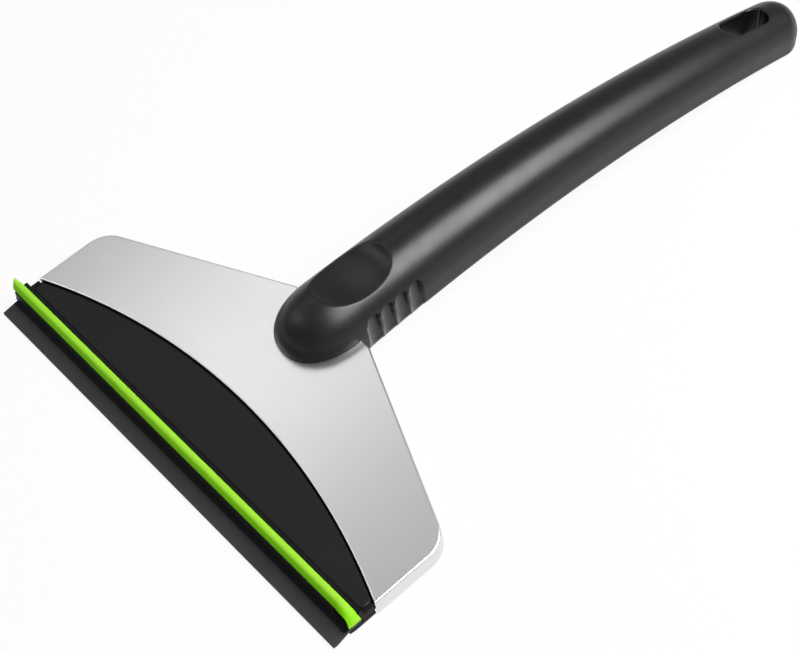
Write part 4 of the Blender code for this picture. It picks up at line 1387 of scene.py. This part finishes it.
@dataclass
class PressedPlate:
    """Fan-shaped steel sheet with a turned-down rim, an arc cut at the front, a tang and studs."""

    half: float = 90.4 * MM
    sheet: float = 1.0 * MM
    rim_depth: float = 6.0 * MM
    bend: float = 0.8 * MM
    side_length: float = 28.1 * MM
    corner: float = 10.5 * MM
    slope: float = math.radians(23.4)
    shoulder_y: float = 59.0 * MM
    tang_half: float = 9.5 * MM
    tang_length: float = 26.0 * MM
    front_y: float = -10.3 * MM
    arc_rise: float = 17.6 * MM
    stud_xs: tuple[float, ...] = (-70 * MM, -35 * MM, 0.0, 35 * MM, 70 * MM)
    stud_behind: float = 4.8 * MM
    stud_radius: float = 1.5 * MM
    stud_length: float = 4.0 * MM
    cut_edge: Span = (0.6 * MM, 0.3 * MM)
    bend_steps: int = 8
    stud_tip: float = 0.8
    stud_chamfer: float = 0.3 * MM
    rounding: float = 0.12 * MM

    @property
    def radius(self) -> float:
        """Radius of the front arc."""
        return (self.half ** 2 + self.arc_rise ** 2) / (2 * self.arc_rise)

    def arc_y(self, x: float, grow: float = 0.0) -> float:
        """Plan height of the front arc, or of one about the same centre."""
        return self.arc_rise - self.radius + math.sqrt((self.radius + grow) ** 2 - x * x)

    def front_arc(self, half: float, grow: float = 0.0, steps: int = 72) -> Outline:
        """Plan points along an arc about the front arc's centre, from +half to -half.

        Args:
            half: Half the width that the arc spans.
            grow: How much larger its radius is than the front arc's.
            steps: Number of chords.

        Returns:
            The points.
        """
        radius = self.radius + grow
        angle = math.asin(half / radius)
        return arc_points(0.0, self.arc_rise - self.radius, radius, math.pi / 2 - angle,
                          math.pi / 2 + angle, steps)

    def outline(self) -> Outline:
        """Plan of the sheet with its tang and a square front.

        Returns:
            The outline.
        """
        lean = math.pi / 2 - self.slope
        corner_y = self.side_length - self.corner * math.tan(lean / 2)
        corner = arc_points(self.half - self.corner, corner_y, self.corner, 0.0, lean, steps=16)
        drop = (self.shoulder_y - self.side_length) / math.tan(self.slope)
        right = [(self.half, self.front_y)] + corner + [(self.half - drop, self.shoulder_y),
                                                      (self.tang_half, self.shoulder_y),
                                                      (self.tang_half, self.shoulder_y + self.tang_length)]
        return right + mirror_x(right)

    def room(self) -> Outline:
        """Plan of the room inside the turned-down rim.

        Returns:
            The outline of the room's cutter, open at the front and at the tang.
        """
        room = []
        neck = self.tang_half + PAST
        for x, y in inset_outline(self.outline(), self.sheet):
            side = 1 if x > 0 else -1
            if y < 0:
                room.append((x, self.front_y - PAST))
            elif y < self.shoulder_y - self.sheet * 2:
                room.append((x, y))
            elif y > self.shoulder_y + PAST:
                room.append((side * neck, y + PAST + self.sheet))
            elif abs(x) > neck:
                step = self.shoulder_y + PAST - y
                room.append((x - side * step / math.tan(self.slope), self.shoulder_y + PAST))
            else:
                room.append((side * neck, self.shoulder_y + PAST))
        return room

    def sheet_mesh(self) -> Mesh:
        """The sheet and its rim as one solid block with the outer bend.

        Returns:
            The block.
        """
        outline = self.outline()
        rings = []
        for turn in np.linspace(0.0, math.pi / 2, self.bend_steps):
            inset = self.bend * (1 - math.sin(turn))
            z = -self.bend * (1 - math.cos(turn))
            rings.append(level(inset_outline(outline, inset), z))
        rings.append(level(outline, -self.rim_depth))
        return body_mesh("steel_plate", rings)

    def front_tool(self) -> Mesh:
        """Cutter that takes off all in front of the arc and chamfers the arc's upper edge.

        Returns:
            The cutter.
        """
        reach, low = self.half + PAST, self.front_y - PAST
        wide, deep = self.cut_edge
        rings = []
        for z, grow in ((-self.rim_depth - PAST, 0.0), (-deep, 0.0), (PAST, wide * (1 + PAST / deep))):
            edge = self.front_arc(self.half, grow)
            outline = [(-reach, low), (reach, low), (reach, edge[0][1])] + edge + [(-reach, edge[-1][1])]
            rings.append(level(outline, z))
        return body_mesh("front_arc", rings)

    def build(self, paint: Paint) -> None:
        """Build the plate and dress it.

        Args:
            paint: Materials made so far.
        """
        plate = add_piece("steel_plate", self.sheet_mesh())
        room = prism_mesh("rim_room", self.room(), -self.rim_depth - PAST, -self.sheet)
        studs, holes = bmesh.new(), bmesh.new()
        tip = -self.sheet - self.stud_length
        sizes = ((tip, self.stud_radius * self.stud_tip), (tip + self.stud_chamfer, self.stud_radius),
                 (-self.sheet / 2, self.stud_radius))
        for x in self.stud_xs:
            place = x, self.arc_y(x) + self.stud_behind
            add_body(studs, [level(circle(*place, size), z) for z, size in sizes])
        for y in TANG_SCREW_YS:
            add_prism(holes, circle(0.0, y, SCREW_HOLE), -self.sheet - PAST, PAST)
        work(plate, Operation.CUT, [room, self.front_tool()])
        soften_edges(plate.data, self.rounding)
        work(plate, Operation.JOIN, [mesh_of("studs", studs)])
        work(plate, Operation.CUT, [mesh_of("tang_holes", holes)])
        tilted(plate.data)
        shade(plate.data, angle=35)
        flatten_faces(plate)
        paint.dress(plate, PLATE_FINISH, SCRAPER, "scraper_plate")


PLATE = PressedPlate()


# Working head: holder, cover, clamp and blade

@dataclass
class WorkingHead:
    """Black holder with its lens cover and clamp bar, and the scraping blade.

    Attributes:
        edge: Width of the rounding on moulded edges.
        wall_x: Ends of the channel's rear wall beside the bead's pull.
        wall_y: Its front and back.
        wall_z: Its foot and top.
        lip: Y and Z of the underside of the thin lip over the blade's root, at its front and back.
        lip_thickness: Thickness of the lip.
        lip_half: Half its length.
        pieces: CAD node, name and finish of each piece.
    """

    edge: float = 0.14 * MM
    wall_x: Span = (83.8 * MM, 90.2 * MM)
    wall_y: Span = (-5.7 * MM, -4.5 * MM)
    wall_z: Span = (-1.0 * MM, 1.85 * MM)
    lip: tuple[Span, Span] = ((-11.75 * MM, -2.745 * MM), (-10.2 * MM, -2.54 * MM))
    lip_thickness: float = 0.35 * MM
    lip_half: float = 89.8 * MM
    pieces: tuple[tuple[str, str, Finish], ...] = (
        ("blade_holder", "holder_bar", HOLDER_FINISH), ("lens_cover", "lens_shaped_cover", COVER_FINISH),
        ("clamp_bar", "blade_clamp", HOLDER_FINISH), ("scraper_blade", "scraping_blade", BLADE_FINISH))

    def copy_of(self, node: str, name: str) -> Object:
        """A merged copy of a CAD node's mesh, with the same shape and rounded edges.

        Args:
            node: Name of the CAD node.
            name: Name of the piece.

        Returns:
            The piece; the holder's also has its rear wall and its lip.
        """
        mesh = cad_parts[node].data.copy()
        mesh.name = name
        merge_doubles(mesh)
        piece = add_piece(name, mesh)
        if node == "blade_holder":
            work(piece, Operation.JOIN, [self.rear_wall(), self.front_lip()])
        soften_edges(piece.data, self.edge)
        shade(piece.data, angle=35)
        flatten_faces(piece)
        return piece

    def rear_wall(self) -> Mesh:
        """Block that carries the channel's rear wall on beside the bead's pull."""
        return tilted(box_mesh("rear_wall", self.wall_x, self.wall_y, self.wall_z))

    def front_lip(self) -> Mesh:
        """Thin lip that covers the blade's root in front of the holder.

        Returns:
            The lip, on the table's axes.
        """
        top = [(y, z + self.lip_thickness) for y, z in reversed(self.lip)]
        rings = [[(x, y, z) for y, z in [*self.lip, *top]] for x in (-self.lip_half, self.lip_half)]
        return tilted(body_mesh("front_lip", rings))

    def build(self, paint: Paint) -> None:
        """Build the four pieces and dress them."""
        for node, name, finish in self.pieces:
            paint.dress(self.copy_of(node, name), finish, SCRAPER, node)


# Lock bead

@dataclass
class LockBead:
    """Green elastic bead with an upright fin at its left tip and a flared pull at its right end."""

    place_y: float = -7.7 * MM
    holder_half: float = 90.25 * MM
    foot: float = 1.6 * MM
    neck: float = 1.1 * MM
    head: float = 1.8 * MM
    fillet: float = 0.18 * MM
    floor: float = -0.3 * MM
    foot_top: float = 0.6 * MM
    head_low: float = 2.2 * MM
    top: float = 4.1 * MM
    tip_overhang: float = 2.5 * MM
    tip_rise: float = 1.0 * MM
    tip_shift: float = 0.9 * MM
    tip_shares: tuple[float, ...] = (0.3, 0.45, 0.58, 0.7, 0.8, 0.88, 0.94, 0.98)
    flare_front: float = 2.8 * MM
    flare_length: float = 6.0 * MM
    flare_over: float = 1.0 * MM
    flare_top: float = 1.1 * MM
    # Width of the bevelled end ring, which gets a painted highlight
    highlight_rim: float = 0.25 * MM
    # Painted highlight on faces that look up: the upward share where it begins, the share over which it grows, and
    # how much of it is lost along the pull
    highlight_from: float = 0.72
    highlight_over: float = 0.2
    highlight_loss: float = 0.6
    roof: tuple[Span, ...] = ((1.0, 0.08), (0.76, 0.24), (0.72, 0.86), (0.5, 1.0), (-0.3, 1.04), (-1.0, 0.22),
                              (-1.0, 0.08))
    plain_steps: int = 40
    flare_steps: int = 14
    flare_power: float = 1.6

    def ring(self, x: float, half: float, top: float, low: float, share: float = 1.0,
             shift: float = 0.0, front: float = 0.0) -> list[Point]:
        """Section at x: foot, neck and a head with a sloping front and a rounded ridge.

        Args:
            x: Place along the bead.
            half: Half width of the head.
            top: Height of the head's top.
            low: Height of the head's lower edge.
            share: Share by which foot and neck are narrowed.
            shift: How far the section moves back.
            front: Half width of the head's front side, where it is wider than the back.

        Returns:
            The section's points.
        """
        front = max(front, half)
        lip = min(self.foot_top, (self.floor + low) / 2)
        fillet = self.fillet
        foot = [(self.foot * share - fillet, self.floor), (self.foot * share, self.floor + fillet),
                (self.foot * share, lip - fillet), (self.foot * share - fillet, lip),
                (self.neck * share, lip), (self.neck * share, low)]
        roof = rounded([((half if y > 0 else front) * y, low + (top - low) * z) for y, z in self.roof])
        head = [(half - fillet * share, low), *roof, (fillet * share - front, low)]
        return [(x, self.place_y + y + shift, z) for y, z in foot + head + mirror_x(foot)]

    def rings(self) -> list[list[Point]]:
        """All sections, from the left tip to the right pull.

        Returns:
            The sections' points, on the plate's axes.
        """
        rings = []
        for share in self.tip_shares:
            x = -self.holder_half - self.tip_overhang * math.sqrt(1 - share ** 2)
            top = self.top + self.tip_rise * (1 - share)
            rings.append(self.ring(x, self.head * share, top, self.head_low, share, self.tip_shift * (1 - share)))
        flare_x = self.holder_half - self.flare_length
        for x in np.linspace(-self.holder_half, flare_x - self.flare_length, self.plain_steps):
            rings.append(self.ring(x, self.head, self.top, self.head_low))
        end_x = self.holder_half + self.flare_over
        for t in np.linspace(0.0, 1.0, self.flare_steps):
            front = self.head + (self.flare_front - self.head) * t ** 4
            top = self.top + (self.flare_top - self.top) * t ** self.flare_power
            low = self.head_low * (1 - t ** 3)
            rings.append(self.ring(flare_x + (end_x - flare_x) * t, self.head, top, low, front=front))
        rim = self.highlight_rim
        rings.append(self.ring(end_x + rim / 2, self.head - rim, self.flare_top - rim, 0.0,
                               front=self.flare_front - rim))
        return rings

    def mark_painted_light(self, mesh: Mesh) -> None:
        """Write how much painted light each point gets: a painted highlight where the bead faces up, less of it along
        the pull, and a painted highlight round the pull's end.

        Args:
            mesh: Mesh of the bead, on the plate's axes.
        """
        up = vectors_of(mesh.vertex_normals, "vector")[:, 2]
        past = vectors_of(mesh.vertices, "co")[:, 0] - (self.holder_half + self.flare_over)
        rim = unit((past + self.highlight_rim) / self.highlight_rim)
        pull = unit(past / self.flare_length + 1.0)
        # Painted highlight on the top, weaker along the pull, and on the end ring
        highlight = unit((up - self.highlight_from) / self.highlight_over) * (1 - self.highlight_loss * pull)
        write_painted_light(mesh, np.maximum(highlight, rim))

    def build(self, paint: Paint) -> None:
        """Build the bead and dress it.

        Args:
            paint: Materials made so far.
        """
        bead = add_piece("green_lock_bead", body_mesh("green_lock_bead", self.rings()))
        self.mark_painted_light(bead.data)
        tilted(bead.data)
        shade(bead.data, angle=42)
        paint.dress(bead, BEAD_FINISH, BEAD, "lock_bead")


# Fasteners

def fastener_tree() -> NodeTree:
    """Geometry Nodes tree that puts one threaded fastener on every point of a mesh.

    Returns:
        The tree. Its inputs are the fastener's object, its thread's sizes, the largest turn
        about its axis, the seed of the turns and the finish.
    """
    tree = Tree(bpy.data.node_groups.new("fastener_row", "GeometryNodeTree"))
    inputs = [("Places", "Geometry"), ("Fastener", "Object"), ("Thread Radius", "Float"), ("Thread Depth", "Float"),
              ("Thread Height", "Float"), ("Thread Turns", "Float"), ("Thread Start", "Float"),
              ("Largest Turn", "Float"), ("Seed", "Int"), ("Finish", "Material")]
    for name, kind in inputs:
        tree.tree.interface.new_socket(name, in_out='INPUT', socket_type=f"NodeSocket{kind}")
    tree.tree.interface.new_socket("Row", in_out='OUTPUT', socket_type="NodeSocketGeometry")
    given = tree.node("NodeGroupInput").outputs
    source = tree.node("GeometryNodeObjectInfo", {"Object": given["Fastener"]}, transform_space='ORIGINAL')
    helix = tree.node("GeometryNodeCurveSpiral", {
        "Resolution": 14, "Start Radius": given["Thread Radius"], "End Radius": given["Thread Radius"],
        "Height": given["Thread Height"], "Rotations": given["Thread Turns"]})
    profile = tree.node("GeometryNodeCurvePrimitiveCircle", {"Resolution": 3, "Radius": given["Thread Depth"]},
                        mode='RADIUS')
    sweep = tree.node("GeometryNodeCurveToMesh", {
        "Curve": helix.outputs["Curve"], "Profile Curve": profile.outputs["Curve"], "Fill Caps": True})
    lift = tree.node("ShaderNodeCombineXYZ", {"Z": given["Thread Start"]})
    thread = tree.node("GeometryNodeTransform", {
        "Geometry": sweep.outputs["Mesh"], "Translation": lift.outputs["Vector"]})
    whole = tree.node("GeometryNodeJoinGeometry", {"Geometry": thread.outputs["Geometry"]})
    tree.feed(whole.inputs["Geometry"], source.outputs["Geometry"])
    low = tree.node("ShaderNodeCombineXYZ", {"Z": tree.combined(given["Largest Turn"], -1.0, 'MULTIPLY')})
    high = tree.node("ShaderNodeCombineXYZ", {"Z": given["Largest Turn"]})
    turn = tree.node("FunctionNodeRandomValue", {"Seed": given["Seed"]}, data_type='FLOAT_VECTOR')
    for target, limit in zip((s for s in turn.inputs if s.type == 'VECTOR'), (low, high)):
        tree.feed(target, limit.outputs["Vector"])
    spread = tree.node("GeometryNodeInstanceOnPoints", {
        "Points": given["Places"], "Instance": whole.outputs["Geometry"],
        "Rotation": next(s for s in turn.outputs if s.type == 'VECTOR')})
    real = tree.node("GeometryNodeRealizeInstances", {"Geometry": spread.outputs["Instances"]})
    paint = tree.node("GeometryNodeSetMaterial", {"Geometry": real.outputs["Geometry"], "Material": given["Finish"]})
    tree.node("NodeGroupOutput", {"Row": paint.outputs["Geometry"]})
    return tree.tree


class HeadForm(Enum):
    """Form of a fastener's head."""

    PAN = "pan"
    FLUSH = "flush"
    NUT = "nut"


@dataclass
class FastenerRow:
    """One row of equal fasteners.

    Attributes:
        node: Start of the CAD nodes' names; the piece is called by its plural.
        form: Form of the head.
        places: Seats on the plate's axes.
        shank: Radius of the shank, or of a nut's bore.
        head: Radius of the head, or half of a nut's width across flats.
        head_height: Height of the head or nut.
        length: Length of the shank.
        seed: Seed of the turns.
        points: Number of points round the screw.
        pitch: Pitch of a screw's thread.
        waist: Radius between a recess's arms, as a share of the arms'.
        root: Radius below the thread, as a share of the shank's.
        wind: Radius that the thread winds round, as a share of the shank's.
        largest_turn: Most by which a screw is turned from its neighbour.
    """

    node: str
    form: HeadForm
    places: list[Point]
    shank: float
    head: float
    head_height: float
    length: float
    seed: int
    points: int = 24
    pitch: float = 1.1 * MM
    waist: float = 0.55
    root: float = 0.84
    wind: float = 0.86
    largest_turn: float = 0.7

    def recess(self, z: float, share: float) -> Point:
        """Ring of a cross-shaped recess: its height, the radius in its arms and the one between them."""
        return z, self.head * share, self.head * share * self.waist

    @staticmethod
    def turned(z: float, radius: float) -> Point:
        """Round ring: its height, and the same radius twice."""
        return z, radius, radius

    def sections(self) -> list[Point]:
        """Rings of the turned form, from the recess to the point.

        Returns:
            Each ring's height, its radius, and its radius between a recess's arms.
        """
        head, high, shank, turned = self.head, self.head_height, self.shank, self.turned
        root = shank * self.root
        if self.form is HeadForm.PAN:
            dome = [turned(-high * (0.55 + 0.45 * math.sin(a)), head * (0.7 + 0.3 * math.cos(a)))
                    for a in (1.57, 1.2, 0.8, 0.4, 0.0)]
            return [self.recess(-high * 0.3, 0.42), self.recess(-high, 0.56), *dome, turned(-0.1 * MM, head),
                    turned(0.0, head - 0.1 * MM), turned(0.0, root), turned(self.length - shank * 1.6, root),
                    turned(self.length, shank * 0.25)]
        return [self.recess(high * 0.7, 0.35), self.recess(0.0, 0.55), turned(0.0, head - 0.05 * MM),
                turned(high * 0.08, head), turned(high * 0.2, head), turned(high, root),
                turned(self.length - shank, root), turned(self.length, shank * 0.3)]

    def screw(self) -> Mesh:
        """The turned screw without its thread.

        Returns:
            The mesh, with the head's seat at the origin.
        """
        turns = [2 * math.pi * i / self.points for i in range(self.points)]
        rings = []
        for z, wide, narrow in self.sections():
            radii = [wide if i % 6 in (0, 1, 5) else narrow for i in range(self.points)]
            rings.append([(r * math.cos(a), r * math.sin(a), z) for r, a in zip(radii, turns)])
        return body_mesh(self.node, rings)

    def nut(self) -> Mesh:
        """A hexagon nut with chamfered corners and bore.

        Returns:
            The mesh, with its upper face at the origin.
        """
        flat, high, bore = self.head, self.head_height, self.shank
        corner, face, chamfer, lead_in = flat / math.cos(math.pi / 6), flat * 0.99, 0.25 * MM, 0.2 * MM
        turns = [2 * math.pi * i / (2 * self.points) for i in range(2 * self.points)]

        def ring(size: float, z: float, hexagon: bool) -> list[Point]:
            """Ring of a hexagon that is cut off at a radius, or of a circle."""
            radii = [min(flat / math.cos(a % (math.pi / 3) - math.pi / 6), size) if hexagon else size for a in turns]
            return [(r * math.cos(a), r * math.sin(a), z) for r, a in zip(radii, turns)]

        return body_mesh(self.node, [
            ring(face, 0.0, True), ring(corner, -chamfer, True), ring(corner, -high + chamfer, True),
            ring(face, -high, True), ring(bore + lead_in, -high, False), ring(bore, -high + lead_in, False),
            ring(bore, -lead_in, False), ring(bore + lead_in, 0.0, False)], closed=True)

    def thread(self) -> dict[str, float]:
        """Sizes of the thread, by the names of the tree's inputs.

        Returns:
            The sizes.
        """
        if self.form is HeadForm.NUT:
            return {"Thread Radius": self.shank + 0.02 * MM, "Thread Depth": 0.1 * MM,
                    "Thread Height": 0.8 * MM, "Thread Turns": 1.6, "Thread Start": -1.3 * MM}
        start = self.head_height if self.form is HeadForm.FLUSH else 0.6 * MM
        height = self.length - start - self.shank
        return {"Thread Radius": self.shank * self.wind, "Thread Depth": 0.2 * MM,
                "Thread Height": height, "Thread Turns": height / self.pitch, "Thread Start": start}

    def build(self, paint: Paint, tree: NodeTree) -> None:
        """Run the tree over the row's places and dress the result.

        Args:
            paint: Materials.
            tree: The fasteners' tree.
        """
        part_mesh = self.nut() if self.form is HeadForm.NUT else self.screw()
        shade(part_mesh, angle=30)
        pattern = add_piece("fastener_pattern", part_mesh)
        dots = bpy.data.meshes.new(f"{self.node}s")
        dots.from_pydata(self.places, [], [])
        row = add_piece(f"{self.node}s", dots)
        modifier = row.modifiers.new("row", 'NODES')
        modifier.node_group = tree
        values = {"Fastener": pattern, "Largest Turn": self.largest_turn, "Seed": self.seed,
                  "Finish": paint.of(ZINC_FINISH), **self.thread()}
        for socket in tree.interface.items_tree:
            if socket.name in values:
                modifier[socket.identifier] = values[socket.name]
        applied(row)
        bpy.data.objects.remove(pattern)
        tilted(row.data)
        nodes = [f"{self.node}_{i + 1}" for i in range(len(self.places))]
        paint.dress(row, ZINC_FINISH, SCRAPER, *nodes)


def fastener_rows() -> list[FastenerRow]:
    """All rows of fasteners; radii, head's height and length are in millimetres here.

    Returns:
        The rows, from the handle to the studs.
    """
    handle = [(0.0, y, LINES.rim(y) - 0.4 * MM) for y in HANDLE_SCREW_YS]
    tang = [(0.0, y, -1.3 * MM) for y in TANG_SCREW_YS]
    clamp = [(x, 0.5 * MM, -5.3 * MM) for x in (-76 * MM, -38 * MM, 0.0, 38 * MM, 76 * MM)]
    studs = [(x, PLATE.arc_y(x) + PLATE.stud_behind, -3.2 * MM) for x in PLATE.stud_xs]
    rows = (("handle_screw", HeadForm.PAN, handle, (1.45, 2.75, 2.0, 9.0), 3),
            ("tang_screw", HeadForm.PAN, tang, (1.45, 2.75, 2.0, 6.2), 5),
            ("clamp_screw", HeadForm.FLUSH, clamp, (1.1, 2.2, 1.0, 3.2), 8),
            ("stud_nut", HeadForm.NUT, studs, (1.65, 2.75, 1.8, 0.0), 2))
    return [FastenerRow(node, form, places, *(size * MM for size in sizes), seed)
            for node, form, places, sizes, seed in rows]


# Studio

@dataclass(frozen=True)
class SoftBox:
    """A rectangular lamp.

    Attributes:
        name: Name of the lamp.
        place: Its centre.
        aim: Point that it faces.
        size: Width and length.
        level: Brightness of its surface.
        long_axis: Direction that its length follows.
    """

    name: str
    place: Point
    aim: Point
    size: Span
    level: float
    long_axis: Point = (0.0, 1.0, 0.0)

    def build(self) -> None:
        """Add the lamp."""
        data = bpy.data.lights.new(self.name, 'AREA')
        data.shape = 'RECTANGLE'
        data.size, data.size_y = self.size
        data.energy = self.level * math.pi * self.size[0] * self.size[1]
        back = (Vector(self.place) - Vector(self.aim)).normalized()
        across = Vector(self.long_axis).cross(back).normalized()
        along = back.cross(across)
        lamp = bpy.data.objects.new(self.name, data)
        lamp.matrix_world = Matrix.Translation(self.place) @ Matrix((across, along, back)).transposed().to_4x4()
        bpy.context.scene.collection.objects.link(lamp)


@dataclass
class Studio:
    """Pale floor, soft lamps and the camera."""

    floor_half: float = 3.0
    floor_depth: float = 0.02
    floor_white: float = 0.92
    floor_grey: float = 0.7
    ambient: float = 0.1
    overhead: float = 0.31
    horizon: Span = (0.0, 0.1)
    lens: float = 76.5
    sensor: float = 36.0
    camera_place: Point = (0.31725, -0.0971, 0.4296)
    camera_right: Point = (0.6494, 0.7439, -0.1579)
    camera_back: Point = (0.5419, -0.3071, 0.7823)
    boxes: tuple[SoftBox, ...] = (
        SoftBox("grip_light", (0.435, 0.46, 0.74), (0.0, 0.14, 0.0), (0.66, 0.58), 11.3),
        SoftBox("plate_light", (-0.62, 0.20, 0.85), (0.0, 0.03, 0.0), (0.16, 0.5), 2.0),
        SoftBox("front_light", (-0.55, -0.42, 0.76), (0.0, 0.0, 0.0), (0.20, 0.75), 2.2, (-0.56, 0.15, -0.33)))

    def seen(self, tree: Tree) -> NodeSocket:
        """1 for rays that show the background: camera, glossy and transmission rays.

        Args:
            tree: Tree of the material or the world.

        Returns:
            The output that tells them.
        """
        path = tree.node("ShaderNodeLightPath").outputs
        total = path["Is Camera Ray"]
        for name in ("Is Glossy Ray", "Is Transmission Ray"):
            total = tree.combined(total, path[name], 'MAXIMUM')
        return total

    def world(self) -> None:
        """Soft room: even light, and a background that is white at the horizon and greyer overhead."""
        world = bpy.data.worlds.new("soft_room")
        world.use_nodes = True
        tree = Tree(world.node_tree)
        low, high = self.horizon
        direction = tree.node("ShaderNodeTexCoord").outputs["Generated"]
        height = tree.node("ShaderNodeSeparateXYZ", {0: direction}).outputs["Z"]
        fall = tree.node("ShaderNodeMapRange", {"Value": height, "From Min": low, "From Max": high, "To Min": 1.0,
                                                "To Max": self.overhead}, interpolation_type='SMOOTHSTEP')
        lit = tree.node("ShaderNodeBackground", {"Color": WHITE, "Strength": self.ambient})
        shown = tree.node("ShaderNodeBackground", {"Color": WHITE, "Strength": fall.outputs["Result"]})
        tree.node("ShaderNodeOutputWorld", {"Surface": tree.mixed_shader(self.seen(tree), lit, shown)})
        bpy.context.scene.world = world

    def floor(self) -> None:
        """White floor that keeps the scraper's shadow."""
        side = (-self.floor_half, self.floor_half)
        floor = add_piece("studio_floor", box_mesh("studio_floor", side, side, (-self.floor_depth, 0.0)))
        material = bpy.data.materials.new("white_floor")
        material.use_nodes = True
        tree = Tree(material.node_tree)
        matt = tree.node("ShaderNodeBsdfDiffuse", {"Color": (self.floor_grey, self.floor_grey, self.floor_grey, 1.0)})
        glow = tree.node("ShaderNodeEmission", {"Color": WHITE, "Strength": 1.0})
        share = tree.combined(self.seen(tree), self.floor_white, 'MULTIPLY')
        tree.node("ShaderNodeOutputMaterial", {"Surface": tree.mixed_shader(share, matt, glow)})
        floor.data.materials.append(material)

    def camera(self) -> None:
        """Camera at the photograph's angle."""
        back = Vector(self.camera_back).normalized()
        up = back.cross(Vector(self.camera_right)).normalized()
        right = up.cross(back)
        matrix = Matrix((right, up, back)).transposed().to_4x4()
        data = bpy.data.cameras.new("camera")
        data.lens = self.lens
        data.sensor_width = self.sensor
        data.clip_start = 0.01
        camera = bpy.data.objects.new("camera", data)
        camera.matrix_world = TO_TABLE @ Matrix.Translation(self.camera_place) @ matrix
        bpy.context.scene.collection.objects.link(camera)
        bpy.context.scene.camera = camera

    def build(self) -> None:
        """Set up the whole studio."""
        self.world()
        self.floor()
        self.camera()
        for box in self.boxes:
            box.build()
        bpy.context.scene.view_settings.view_transform = 'Standard'


def main() -> None:
    """Build every sub-assembly in order."""
    logging.basicConfig(level=logging.INFO, format="%(message)s")
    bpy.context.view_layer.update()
    paint = Paint()
    Studio().build()
    TopShell().build(paint)
    BottomShell().build(paint)
    PLATE.build(paint)
    WorkingHead().build(paint)
    LockBead().build(paint)
    tree = fastener_tree()
    for row in fastener_rows():
        row.build(paint, tree)


if __name__ == "__main__":
    main()
